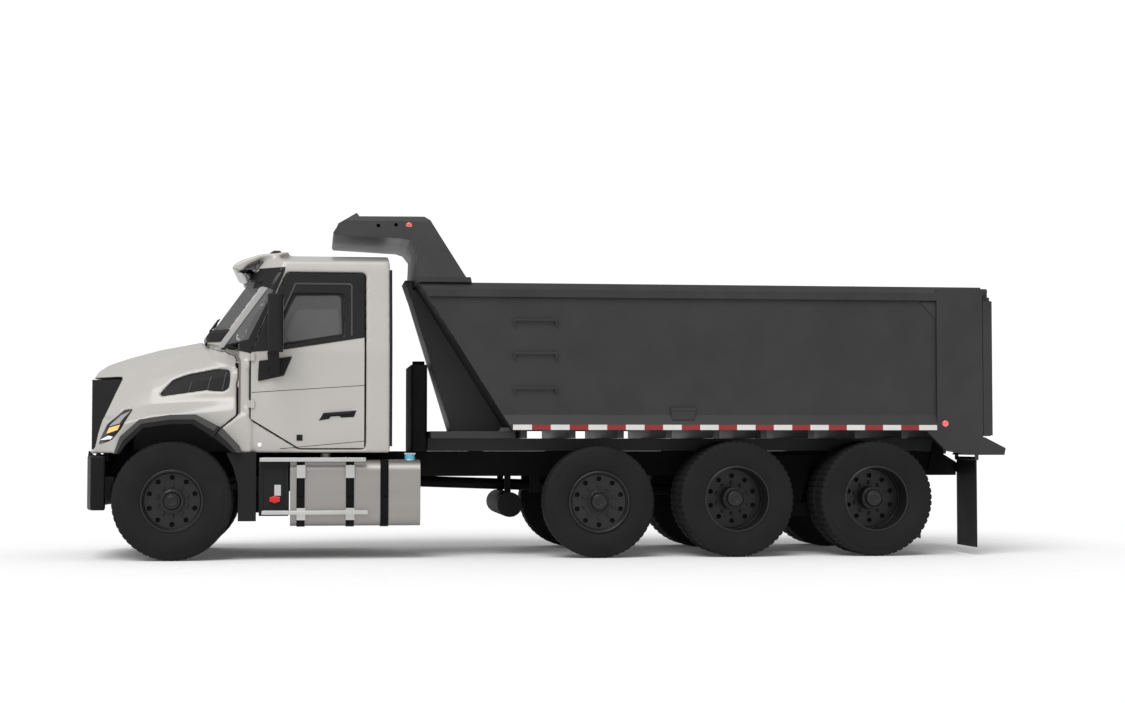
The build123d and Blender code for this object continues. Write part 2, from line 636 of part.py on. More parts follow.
hinge_table = [1420, 1860]        # heights of the door hinges
hinge_length = 70
with BuildPart() as cab_shell:
    add(cab_skin)
    add(cab_inside, mode=Mode.SUBTRACT)
    for y_from in (1400, -700):
        extrude(outline_face(door_outline, 0, Plane.XZ.offset(-y_from)), amount=700, mode=Mode.SUBTRACT)
    side_plate(windshield_cut, windshield_half, -windshield_half, mode=Mode.SUBTRACT)
    block((cab_rear_at - 200, cab_rear_at + 100), rear_window[:2], rear_window[2:], mode=Mode.SUBTRACT)
    # Visor over the windshield
    side_plate([(519, 2747), (541, 2788), (604, 2828), (783, 2887), (1060, 2916), (1060, 2896),
                (800, 2855), (650, 2770), (627, 2716)], 850, -850)
    # The fender's tail, carried by the cab behind the hood's seam
    for side in (-1, 1):
        side_plate([(600, 1352), (455, 1236), (382, 1141), (459, 1083), (551, cab_bottom_z),
                    (720, cab_bottom_z), (720, 1300), (660, 1352)], side * 1070, side * fender_y)
        for height in hinge_table:
            y_pin = side * door_hinge_y
            rod((door_hinge_at, y_pin, height - hinge_length), (door_hinge_at, y_pin, height), 12)
            block((door_hinge_at - 40, door_hinge_at - 2), span(side, cab_half - 20, door_hinge_y + 4),
                  (height - hinge_length, height))
            rod((door_hinge_at, y_pin, height - 5), (door_hinge_at, y_pin, height + hinge_length), 5)
keep("cab_shell", cab_shell)

with BuildPart() as cab_glass:
    add(cab_solid(glass_depth))
    add(cab_solid(glass_depth + glass_thick), mode=Mode.SUBTRACT)
    with BuildPart(mode=Mode.PRIVATE) as panes:
        extrude(outline_face(windshield_cut, fit_gap, Plane.XZ.offset(-windshield_half + fit_gap)),
                amount=2 * (windshield_half - fit_gap))
        block((cab_rear_at - 200, cab_rear_at + 100),
              (rear_window[0] + fit_gap, rear_window[1] - fit_gap),
              (rear_window[2] + fit_gap, rear_window[3] - fit_gap))
    add(panes.part, mode=Mode.INTERSECT)
keep("cab_glass", cab_glass)

# Doors, their windows and mirrors
with BuildPart() as door:
    add(cab_skin)
    add(cab_inside, mode=Mode.SUBTRACT)
    extrude(outline_face(door_outline, seam_gap, Plane.XZ.offset(800)), amount=600, mode=Mode.INTERSECT)
    extrude(outline_face(window_outline, 0, Plane.XZ.offset(800)), amount=600, mode=Mode.SUBTRACT)
    for height in hinge_table:
        rod((door_hinge_at, -door_hinge_y, height + 0.3),
            (door_hinge_at, -door_hinge_y, height + hinge_length), 12)
        for x_from, y_from in ((4, cab_half + fit_gap), (18, cab_half - 20)):
            block((door_hinge_at + x_from, door_hinge_at + 50), (-door_hinge_y - 4, -y_from),
                  (height + 0.3, height + hinge_length))
        rod((door_hinge_at, -door_hinge_y, height), (door_hinge_at, -door_hinge_y, height + hinge_length + 1),
            5 + fit_gap, mode=Mode.SUBTRACT)
keep_both("door", door)

with BuildPart() as window:
    add(cab_solid(glass_depth))
    add(cab_solid(glass_depth + glass_thick), mode=Mode.SUBTRACT)
    extrude(outline_face(window_outline, fit_gap, Plane.XZ.offset(800)), amount=600, mode=Mode.INTERSECT)
keep_both("window", window)

mirror_x = (874, 1018)
mirror_z = (1937, 2473)
with BuildPart() as side_mirror:
    side_plate([(780, 1668), (788, 1861), (1099, 1905), (1022, 1722)], -cab_half - fit_gap, -cab_half - 22)
    rod((900, -cab_half - 18, 1790), (930, -1345, 1985), 26)
    with BuildSketch(Plane.XY.offset(mirror_z[0])) as mirror_section:
        with Locations((station(sum(mirror_x) / 2), -1320)):
            RectangleRounded(mirror_x[1] - mirror_x[0], 230, 50)
    extrude(mirror_section.sketch, amount=mirror_z[1] - mirror_z[0])
keep_both("mirror", side_mirror)

# Cab furniture: seats, dashboard and steering wheel
floor_top = cab_floor_z + cab_wall + fit_gap
with BuildPart() as seats:
    for side in (-1, 1):
        y_seat = side * 520
        block((1300, 1750), (y_seat - 240, y_seat + 240), (floor_top + 330, floor_top + 470))
        block((1400, 1650), (y_seat - 150, y_seat + 150), (floor_top, floor_top + 330))
        side_plate([(1720, floor_top + 400), (1850, floor_top + 400), (1930, floor_top + 1150),
                    (1830, floor_top + 1180)], y_seat + 230, y_seat - 230)
keep("seats", seats)

column_foot = (900, -520, 1860)
column_head = (1090, -520, 1990)
with BuildPart() as dashboard:
    side_plate([(650, 1560), (820, 1560), (960, 1700), (940, 1930), (880, 1985), (650, 1960)], 960, -960)
    block((645, 800), (-250, 250), (floor_top, 1600))
    rod(column_foot, column_head, 30)
    wheel_dir = Vector(190, 0, 130)
    with BuildSketch(Plane(origin=(station(column_head[0]), column_head[1], column_head[2]),
                           z_dir=wheel_dir)) as rim_ring:
        RegularPolygon(225, 20)
        RegularPolygon(195, 20, mode=Mode.SUBTRACT)
        Rectangle(40, 400)
        RegularPolygon(55, 10)
    extrude(rim_ring.sketch, amount=25)
keep("dashboard", dashboard)

# Hood: ruled between three sections, clipped by a side view and a plan.
# Columns of a section: half width and height, from the lower edge to the crown
hood_sections = [
    (-840, [(1130, 850), (1130, 1170), (1020, 1230), (850, 1290),
            (740, 1380), (650, 1480), (480, 1600), (0, 1830)]),
    (-200, [(1130, 850), (1130, 1340), (1075, 1395), (985, 1450),
            (920, 1600), (850, 1700), (640, 1893), (0, 2006)]),
    (620, [(1130, 850), (1130, 1400), (1112, 1450), (1080, 1520),
           (1050, 1760), (965, 1895), (760, 2080), (0, 2165)]),
]
seam_top = (446, 1237)
seam_bottom = (373, 1144)
arch_inner = [(-500, 850), (-480, 992), (-415, 1083), (-262, 1231), (-8, 1268), (183, 1268), (303, 1194),
              seam_bottom]
arch_outer = [(-529, hood_bottom_z), (-472, 1151), (-297, 1310), (-16, 1353), (215, 1357), seam_top]


def hood_solid(inset):
    """The hood's outer form moved inwards by inset, open below and behind when inset."""
    low = 400 if inset > 0 else 0
    back = 200 if inset > 0 else 0
    side_view = [
        (-771 + inset, hood_bottom_z - low), (-771 + inset, 1021),
        (-502 + inset * 1.1, 1716), (-502 + inset, 1723),
        (-814 + 2 * inset, 1712), (-781 + inset, 1785 - inset), (-693 + inset / 2, 1852 - inset),
        (-440, 1944 - inset), (-174, 2020 - inset), (104, 2085 - inset), (600 + back, 2300),
        (600 + back, 1357), (591, 1357), seam_top, seam_bottom, (seam_bottom[0], hood_bottom_z - low),
    ]
    if inset > 0:
        side_view[-5:] = [(600 + back, hood_bottom_z - low)]
    with BuildPart() as solid:
        sections = []
        for at, half in hood_sections:
            lowered = [(max(y - inset, 0), z - inset) for y, z in half[1:-1]]
            half_inset = [(half[0][0] - inset, half[0][1] - low), *lowered, (0, half[-1][1] - inset)]
            with BuildSketch(Plane.YZ.offset(station(at))) as section:
                with BuildLine():
                    Polyline(*mirrored(half_inset), close=True)
                make_face()
            sections.append(section.sketch.face())
        loft(sections, ruled=True)
        side_plate(side_view, 1400, -1400, mode=Mode.INTERSECT)
        nose_plan = [(-832, 0), (-822, 250), (-776, 560), (-705, 850), (-600, 1060), (-520, 1130),
                     (-520, 1300)]
        rear_plan = [(x + back, y) for x, y in seam_plan]
        plan = [(x + inset, y - (inset if y > 1100 else 0)) for x, y in nose_plan]
        plan += [(rear_plan[-1][0], 1300)] + rear_plan[::-1]
        plan += [(x, -y) for x, y in reversed(plan) if y]
        plan_plate(plan, 300, 2500, mode=Mode.INTERSECT)
    return solid.part


grille_half = 560
lamp_outline = [(-700, 1085), (-560, 1125), (-468, 1240), (-385, 1412), (-470, 1385), (-600, 1260)]
vent_outline = [(-150, 1526), (-13, 1682), (126, 1733), (521, 1809), (512, 1609), (459, 1575), (298, 1590)]
with BuildPart() as hood:
    add(hood_solid(0))
    add(hood_solid(hood_skin), mode=Mode.SUBTRACT)
    side_plate([(-860, 1030), (-700, 1030), (-430, 1712), (-560, 1712), (-860, 1712)],
               grille_half, -grille_half, mode=Mode.SUBTRACT)
    for side in (-1, 1):
        side_plate(arch_inner + [(seam_bottom[0] + 60, 850)], side * 700, side * 1300, mode=Mode.SUBTRACT)
        side_plate(lamp_outline, side * 560, side * 1300, mode=Mode.SUBTRACT)
        side_plate(vent_outline, side * 700, side * 1300, mode=Mode.SUBTRACT)
    block((-795, -752), (-740, 740), (hood_bottom_z, 1028))
    for side in (-1, 1):
        middle = side * (lug_y[1] + lug_y[2]) / 2
        block((hood_pivot_at, -752), (middle - 12, middle + 12), (hood_bottom_z + 2, 1022))
        for reach, radius, mode in ((12, 22, Mode.ADD), (20, pivot_radius + fit_gap, Mode.SUBTRACT)):
            rod((hood_pivot_at, middle - reach, hood_pivot_z), (hood_pivot_at, middle + reach, hood_pivot_z),
                radius, mode)
keep("hood", hood)

grille_bars = 9
grille_z = (1030, 1694)
with BuildPart() as grille:
    with BuildSketch(Plane.XY.offset(grille_z[0])) as prow:
        with BuildLine():
            ThreePointArc((station(-795), -grille_half), (station(-835), 0), (station(-795), grille_half))
            Line((station(-795), grille_half), (station(-765), grille_half))
            ThreePointArc((station(-765), grille_half), (station(-805), 0), (station(-765), -grille_half))
            Line((station(-765), -grille_half), (station(-795), -grille_half))
        make_face()
    extrude(prow.sketch, amount=grille_z[1] - grille_z[0])
    pitch = (grille_z[1] - grille_z[0] - 40) / grille_bars
    for row in range(grille_bars):
        low = grille_z[0] + 40 + row * pitch
        block((-860, -700), (-500, 500), (low, low + pitch - 26), mode=Mode.SUBTRACT)
    for side in (-1, 1):
        side_plate([(-796, grille_z[0]), (-768, grille_z[0]), (-525, 1660), (-512, grille_z[1]),
                    (-796, grille_z[1])], side * grille_half, side * (grille_half - 30))
keep("grille", grille)

with BuildPart() as headlamps:
    add(hood_solid(-4))
    add(hood_solid(hood_skin), mode=Mode.SUBTRACT)
    with BuildPart(mode=Mode.PRIVATE) as lamp_prisms:
        for y_from in (1300, -(grille_half + 5)):
            extrude(outline_face(lamp_outline, fit_gap, Plane.XZ.offset(-y_from)),
                    amount=1300 - grille_half - 5)
    add(lamp_prisms.part, mode=Mode.INTERSECT)
keep("headlamps", headlamps)

with BuildPart() as hood_vents:
    add(hood_solid(14))
    add(hood_solid(hood_skin), mode=Mode.SUBTRACT)
    with BuildPart(mode=Mode.PRIVATE) as vent_prisms:
        for y_from in (1300, -705):
            extrude(outline_face(vent_outline, fit_gap, Plane.XZ.offset(-y_from)), amount=1300 - 705)
    add(vent_prisms.part, mode=Mode.INTERSECT)
keep("hood_vents", hood_vents)

# Flares: the hood's part follows the hood, and the tail stays with the cab
flare_y = (fender_y, outer_y)
tail_seam_top = (seam_top[0] + 9, seam_top[1] - 3)
tail_seam_bottom = (seam_bottom[0] + 9, seam_bottom[1] - 3)
with BuildPart() as arch_flares:
    for side in (-1, 1):
        side_plate(arch_outer + [seam_bottom] + arch_inner[-2:0:-1], side * flare_y[0], side * flare_y[1])
keep("arch_flares", arch_flares)

guard_front = [(495, cab_bottom_z), (560, 860), (604, 700), (604, 363)]
with BuildPart() as cab_skirts:
    for side in (-1, 1):
        side_plate([tail_seam_top, (615, 1066), (637, 1002), (551, 1002), (459, 1083), tail_seam_bottom],
                   side * flare_y[0], side * flare_y[1])
        side_plate(guard_front + [(771, 363), (771, cab_bottom_z)], side * 1125, side * 1145)
        side_plate(guard_front + [(x + 14, z) for x, z in reversed(guard_front)], side * 760, side * 1145)
        block((690, 771), span(side, 760, 1145), (940, cab_bottom_z))
keep("cab_skirts", cab_skirts)

with BuildPart() as tail_lamps:
    block((rail_rear_at + fit_gap, rail_rear_at + 28), (-520, 520), (800, 896))
keep("tail_lamps", tail_lamps)


# Body: floor and sides in one section, a sloping front wall with the hoist's housing
def wall_x(z):
    """Station of the sloping front wall's outer face at a height."""
    return wall_top[0] + (wall_top[1] - z) * (wall_foot[0] - wall_top[0]) / (wall_top[1] - wall_foot[1])


body_side = [
    (0, floor_z[0]), (1160, floor_z[0]), (1160, 1215), (outer_y, 1215), (outer_y, 1267),
    (sheet_half, 1359), (sheet_half, 2463), (outer_y, 2475), (outer_y, 2549), (1165, side_top_z),
    (1130, side_top_z), (1130, 2490), (sheet_half - 40, 2463), (sheet_half - 40, 1335),
    (1085, floor_z[1]), (0, floor_z[1]),
]
body_section = body_side[:-1] + [(-y, z) for y, z in reversed(body_side[1:-1])]
doghouse_half = 350
doghouse_plate = 12
doghouse_front = [(2645, 1216), (2255, 2488), (2184, 2690), (2262, 2690)]
cross_bearers = 10
bearer_foot = sill_z[1] + fit_gap      # bearers and front ledge rest on the sills
flap_at = 7700
flap_z = 940
flap_rod = 10
post_outline = [(7308, 1211), (7201, 1204), (7400, 1016), (7514, 996), (7620, 975), (gate_at, 975),
                (gate_at, 2583), (7308, 2583)]
rung_heights = (2250, 1935, 1604)
with BuildPart() as bed_frame:
    for side in (-1, 1):
        # Sills with their pivot bosses, the front ledge and the rear posts
        low, high = span(side, sill_y[0], sill_y[1])
        block((2410, tilt_at), (low, high), sill_z)
        rod((tilt_at, low, tilt_z), (tilt_at, high, tilt_z), tilt_z - sill_z[0])
        block((2410, 3215), span(side, 130, 1000), (bearer_foot, 1204))
        side_plate(post_outline, side * 1150, side * outer_y)
        block((gate_at - 160, gate_at), span(side, 700, 1150), (1040, floor_z[0]))
        # Tail apron, and the rod that the mud flap hangs from
        side_plate([(gate_at - 112, 975), (7980, 975), (7993, 1042), (gate_at + 20, 1146),
                    (gate_at - 5, 1150)], side * 600, side * outer_y)
        rod((flap_at, side * 600, flap_z), (flap_at, side * outer_y, flap_z), flap_rod)
        for near, far in ((600, 612), (outer_y - 12, outer_y)):
            block((flap_at - 18, flap_at + 18), span(side, near, far),
                  (flap_z - 14, 980))
        # Gate hinge brackets on the posts
        side_plate([(gate_at - 30, 2530), (gate_at + 40, 2530), (gate_at + 70, gate_hinge_z),
                    (gate_at + 60, 2596), (gate_at - 30, 2596)], side * 1150, side * 1175)
        rod((gate_at + 41, side * 1100, gate_hinge_z), (gate_at + 41, side * 1150, gate_hinge_z), 16)
    side_plate([(gate_at - 5, floor_z[0]), (gate_at - 5, 1160), (gate_at + 20, 1146), (7980, 1049),
                (7975, 1037), (gate_at + 20, 1132), (gate_at - 17, 1150), (gate_at - 17, floor_z[0])],
               600, -600)
    for number in range(cross_bearers):
        at = 3280 + number * (7460 - 3280) / (cross_bearers - 1)
        block((at - 30, at + 30), (-1160, 1160), (bearer_foot, floor_z[0]))
    block((gate_at - 60, gate_at), (-705, 705), (sill_z[1], floor_z[0]))
    for side in (-1, 1):
        rod((tilt_at, side * 340, tilt_z), (tilt_at, side * 440, tilt_z), 30 + fit_gap, mode=Mode.SUBTRACT)
keep("bed_frame", bed_frame)

with BuildPart() as tub:
    with BuildSketch(Plane.YZ.offset(station(wall_top[0]))) as hull_section:
        with BuildLine():
            Polyline(*body_section, close=True)
        make_face()
    extrude(hull_section.sketch, amount=gate_at - wall_top[0])
    side_plate([(2000, 1100), (wall_x(1100), 1100), (wall_x(2700), 2700), (2000, 2700)], 1300, -1300,
               mode=Mode.SUBTRACT)
    side_plate([(wall_x(floor_z[0]), floor_z[0]), (wall_x(side_top_z), side_top_z),
                (wall_x(side_top_z) + wall_thick, side_top_z), (wall_x(floor_z[0]) + wall_thick, floor_z[0])],
               1150, -1150)
    # Hoist housing, open below
    for side in (-1, 1):
        side_plate(doghouse_front + [(2262, 2600), (wall_x(2600) + 10, 2600), (wall_x(1260) + 10, 1260),
                   (3100, 1204), (2645, 1204)], side * (doghouse_half - doghouse_plate), side * doghouse_half)
    side_plate(doghouse_front + [(2262, 2676), (2202, 2676), (2268, 2488), (2660, 1216)],
               doghouse_half, -doghouse_half)
    # Pin brackets for the hoist's top eye
    for side in (-1, 1):
        side_plate([on_hoist(-40, -32), on_hoist(30, -32), on_hoist(30, 125), on_hoist(-40, 125)],
                   side * 41, side * 60)
    rod((hoist_top[0], -60, hoist_top[1]), (hoist_top[0], 60, hoist_top[1]), 25)
    # Climbing rungs on the sides
    for side in (-1, 1):
        for height in rung_heights:
            block((3172, 3599), span(side, outer_y - 20, outer_y - 2), (height, height + 16))
            for x_leg in (3178, 3577):
                block((x_leg, x_leg + 14), span(side, sheet_half - 5, outer_y - 2), (height - 50, height + 16))
    add(bed_frame.part, mode=Mode.SUBTRACT)
keep("tub", tub)

# Cab guard: plates that lean inwards, a deck over the cab, its front lip notched
guard_outline = [
    (2267, 2660), (2272, 2886), (2271, 2967), (2210, 3035), (2140, 3056), (1490, 3088), (1478, 3110),
    (1513, 3171), (1528, 3209), (1705, 3320), (1731, 3285), (2359, 3290), (2417, 3254), (2727, 2669),
    (2727, 2660),
]
guard_half = [(0, 2600), (1152, 2600), (1152, 2660), (800, 3088), (680, 3240), (640, 3330), (0, 3330)]
guard_half_inside = [(0, 2590), (1136, 2590), (1136, 2655), (784, 3088), (664, 3234), (628, 3318), (0, 3318)]
guard_holes = [(1912, 3190), (2082, 3200)]
with BuildPart() as cab_guard:
    side_plate(guard_outline, 1300, -1300)
    cross_plate(mirrored(guard_half), 1300, 3000, mode=Mode.INTERSECT)
    # Hollow behind the wall and under nothing: the shell keeps its sides, deck and wall
    with BuildPart(mode=Mode.PRIVATE) as guard_hollow:
        side_plate([
            (2279, 2600), (2284, 2886), (2283, 2972), (2215, 3047), (2141, 3068), (1495, 3100), (1500, 3112),
            (1526, 3165), (1542, 3203), (1700, 3302), (1722, 3273), (2353, 3278), (2407, 3247), (2760, 2600),
        ], 1300, -1300)
        cross_plate(mirrored(guard_half_inside), 1300, 3000, mode=Mode.INTERSECT)
    add(guard_hollow.part, mode=Mode.SUBTRACT)
    for side in (-1, 1):
        side_plate([(2267, side_top_z + fit_gap), (2267, 2660), (2769, 2660), (2780, side_top_z + fit_gap)],
                   side * 1135, side * 1200)
    block((2267, 2279), (-1140, 1140), (side_top_z + 2, 2665))
    for hole in guard_holes:
        rod((hole[0], -1200, hole[1]), (hole[0], 1200, hole[1]), 20, mode=Mode.SUBTRACT, sides=8)
keep("cab_guard", cab_guard)

# Telescopic hoist: the barrel hangs in the body, and each stage slides out of the last
open_angle = slope + lift
hoist_open = hypot(hoist_reach * cos(open_angle) - hoist_foot_reach, hoist_reach * sin(open_angle))
stage_stroke = (hoist_open - hoist_closed) / hoist_stages
tube_radii = [88, 76, 64, 52, 40]
tube_clear = 0.5


def hoist_rod(start, end, radius, mode=Mode.ADD):
    """Round bar on the hoist's axis between two distances from its top pin."""
    (x_start, z_start), (x_end, z_end) = on_hoist(start), on_hoist(end)
    rod((x_start, 0, z_start), (x_end, 0, z_end), radius, mode)


with BuildPart() as hoist_barrel:
    hoist_rod(35, hoist_closed - 85, tube_radii[0])
    hoist_rod(58, hoist_closed, tube_radii[1] + tube_clear, mode=Mode.SUBTRACT)
    rod((hoist_top[0], -39, hoist_top[1]), (hoist_top[0], 39, hoist_top[1]), 45)
    rod((hoist_top[0], -50, hoist_top[1]), (hoist_top[0], 50, hoist_top[1]), 25 + fit_gap, mode=Mode.SUBTRACT)
keep("hoist_barrel", hoist_barrel)

for rank in range(1, hoist_stages + 1):
    with BuildPart() as stage:
        hoist_rod(58 + 8 * rank, hoist_closed - 85 + 9 * rank, tube_radii[rank])
        if rank < hoist_stages:
            hoist_rod(58 + 8 * rank + 6, hoist_closed, tube_radii[rank + 1] + tube_clear,
                mode=Mode.SUBTRACT)
        else:
            hoist_rod(hoist_closed - 60, hoist_closed, tube_radii[rank])
            rod((hoist_foot[0], -boss_half, hoist_foot[1]), (hoist_foot[0], boss_half, hoist_foot[1]),
                boss_radius)
    keep(f"hoist_stage_{rank}", stage)

# Tailgate: a framed panel with ribs, hung from the posts
gate_front = gate_at + 6
with BuildPart() as tailgate:
    block((gate_front, gate_front + gate_thick), (-1215, 1215), (1158, 2520))
    for y_low in (-1215, -640, -55, 530, 1105):
        block((gate_front + gate_thick, gate_front + gate_thick + 22), (y_low, y_low + 110), (1165, 2515))
    for side in (-1, 1):
        low, high = span(side, 1105, 1144)
        rod((gate_at + 41, low, gate_hinge_z), (gate_at + 41, high, gate_hinge_z), 32)
        block((gate_front, gate_front + gate_thick), (low, high), (2500, gate_hinge_z))
        rod((gate_at + 41, side * 1090, gate_hinge_z), (gate_at + 41, side * 1160, gate_hinge_z),
            16 + fit_gap, mode=Mode.SUBTRACT)
        block((gate_at, gate_at + 200), span(side, 1144, 1300),
              (2475, 2700), mode=Mode.SUBTRACT)
keep("tailgate", tailgate)

flap_thick = 12
flap_half = (620, 1200)
with BuildPart() as mud_flaps:
    for side in (-1, 1):
        y_in, y_out = side * flap_half[0], side * flap_half[1]
        rod((flap_at, y_in, flap_z), (flap_at, y_out, flap_z), flap_rod + 8)
        block((flap_at - flap_thick / 2, flap_at + flap_thick / 2), span(side, *flap_half), (80, flap_z))
        rod((flap_at, side * 590, flap_z), (flap_at, side * 1230, flap_z), flap_rod + fit_gap,
            mode=Mode.SUBTRACT)
keep("mud_flaps", mud_flaps)

print("hoist", round(hoist_closed, 2), round(hoist_open, 2), "stroke of a stage", round(stage_stroke, 3))
print("hoist top", hoist_top, "foot", hoist_foot, "direction", hoist_dir, "steering axle at", steer_x)

os.makedirs("parts", exist_ok=True)
for name, part in pieces.items():
    part.label = name
    export_step(part, f"parts/{name}.step")
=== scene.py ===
import json
from math import cos, pi, radians, sin

import bmesh
import bpy
from mathutils import Matrix, Vector
from mathutils.bvhtree import BVHTree


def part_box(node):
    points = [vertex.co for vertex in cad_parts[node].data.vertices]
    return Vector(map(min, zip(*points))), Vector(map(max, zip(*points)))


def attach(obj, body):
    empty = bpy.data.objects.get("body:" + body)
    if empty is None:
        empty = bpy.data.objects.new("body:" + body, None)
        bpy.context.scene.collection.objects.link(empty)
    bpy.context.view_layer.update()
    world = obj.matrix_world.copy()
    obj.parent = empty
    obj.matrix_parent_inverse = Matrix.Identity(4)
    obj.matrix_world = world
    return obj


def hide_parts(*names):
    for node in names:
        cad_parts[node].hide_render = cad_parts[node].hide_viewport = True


# A dump truck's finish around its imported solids, in metres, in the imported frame. Lengthwise
# places are measured back from the steering axle, as on the solids, and station() turns
# them into X.

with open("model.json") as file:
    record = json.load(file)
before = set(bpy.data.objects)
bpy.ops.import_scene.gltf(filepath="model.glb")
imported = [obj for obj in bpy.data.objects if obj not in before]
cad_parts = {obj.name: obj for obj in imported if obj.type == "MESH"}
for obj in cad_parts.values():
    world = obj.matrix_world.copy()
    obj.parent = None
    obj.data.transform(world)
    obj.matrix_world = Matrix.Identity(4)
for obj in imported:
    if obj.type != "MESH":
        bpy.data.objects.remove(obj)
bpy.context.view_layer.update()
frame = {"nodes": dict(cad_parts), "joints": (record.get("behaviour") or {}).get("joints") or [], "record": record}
nodes = frame["nodes"]
joint_at = {joint["name"]: Vector(joint.get("pos_m", (0, 0, 0))) for joint in frame["joints"]}
steer_x = joint_at["steer_spin_left"].x
SIDES = {"left": -1, "right": 1}


def station(at):
    """X of a place that lies this far behind the steering axle."""
    return steer_x + at


# Materials
COAT_ROUGH = 0.12
CLOUD_DETAIL = 6
CLOUD_RANGE = (0.3, 0.7)
GRAIN_DETAIL = 3
GRAIN_HEIGHT = 0.001
EDGE_SAMPLES = 4
LEAST_ROUGH = 0.02


def material(name, colour, rough, metal=0.0, coat=0.0, blotch=0.12, blotch_size=3.0, grain=0.0,
             grain_size=400.0, stretch=(1, 1, 1), specular=0.5, rough_spread=0.08, edge=0.0):
    """A finish with mottled colour and gloss and, with grain, a fine relief.
    Edges shade as if rounded by the radius edge."""
    made = bpy.data.materials.new(name)
    made.use_nodes = True
    tree = made.node_tree
    shader = tree.nodes["Principled BSDF"]
    shader.inputs["Metallic"].default_value = metal
    shader.inputs["Coat Weight"].default_value = coat
    shader.inputs["Coat Roughness"].default_value = COAT_ROUGH
    shader.inputs["Specular IOR Level"].default_value = specular
    place = tree.nodes.new("ShaderNodeTexCoord")
    scale = tree.nodes.new("ShaderNodeMapping")
    scale.inputs["Scale"].default_value = stretch
    tree.links.new(place.outputs["Object"], scale.inputs["Vector"])
    cloud = tree.nodes.new("ShaderNodeTexNoise")
    cloud.inputs["Scale"].default_value = blotch_size
    cloud.inputs["Detail"].default_value = CLOUD_DETAIL
    tree.links.new(scale.outputs["Vector"], cloud.inputs["Vector"])
    tones = tree.nodes.new("ShaderNodeValToRGB")
    for stop, position in zip(tones.color_ramp.elements, CLOUD_RANGE):
        stop.position = position
    tones.color_ramp.elements[0].color = (*[c * (1 - blotch) for c in colour], 1)
    tones.color_ramp.elements[1].color = (*[min(1, c * (1 + blotch)) for c in colour], 1)
    tree.links.new(cloud.outputs["Fac"], tones.inputs["Fac"])
    tree.links.new(tones.outputs["Color"], shader.inputs["Base Color"])
    gloss = tree.nodes.new("ShaderNodeMapRange")
    gloss.inputs["To Min"].default_value = max(LEAST_ROUGH, rough - rough_spread)
    gloss.inputs["To Max"].default_value = min(1, rough + rough_spread)
    tree.links.new(cloud.outputs["Fac"], gloss.inputs["Value"])
    tree.links.new(gloss.outputs["Result"], shader.inputs["Roughness"])
    facing = None
    if edge:
        rounding = tree.nodes.new("ShaderNodeBevel")
        rounding.samples = EDGE_SAMPLES
        rounding.inputs["Radius"].default_value = edge
        facing = rounding.outputs["Normal"]
    if grain:
        fine = tree.nodes.new("ShaderNodeTexNoise")
        fine.inputs["Scale"].default_value = grain_size
        fine.inputs["Detail"].default_value = GRAIN_DETAIL
        tree.links.new(scale.outputs["Vector"], fine.inputs["Vector"])
        relief = tree.nodes.new("ShaderNodeBump")
        relief.inputs["Strength"].default_value = grain
        relief.inputs["Distance"].default_value = GRAIN_HEIGHT
        tree.links.new(fine.outputs["Fac"], relief.inputs["Height"])
        if facing:
            tree.links.new(facing, relief.inputs["Normal"])
        facing = relief.outputs["Normal"]
    if facing:
        tree.links.new(facing, shader.inputs["Normal"])
    return made


def glass(name, colour, solid, rough=0.03):
    """Tinted glass: each face of a pane hides a share, solid, of what lies behind it."""
    made = material(name, colour, rough, blotch=0.03, rough_spread=0.01)
    made.node_tree.nodes["Principled BSDF"].inputs["Alpha"].default_value = solid
    return made


def glowing(name, colour, light):
    """Lamp glass that gives a little light of its own."""
    made = material(name, colour, 0.2, coat=0.6, blotch=0.05)
    shader = made.node_tree.nodes["Principled BSDF"]
    shader.inputs["Emission Color"].default_value = (*colour, 1)
    shader.inputs["Emission Strength"].default_value = light
    return made


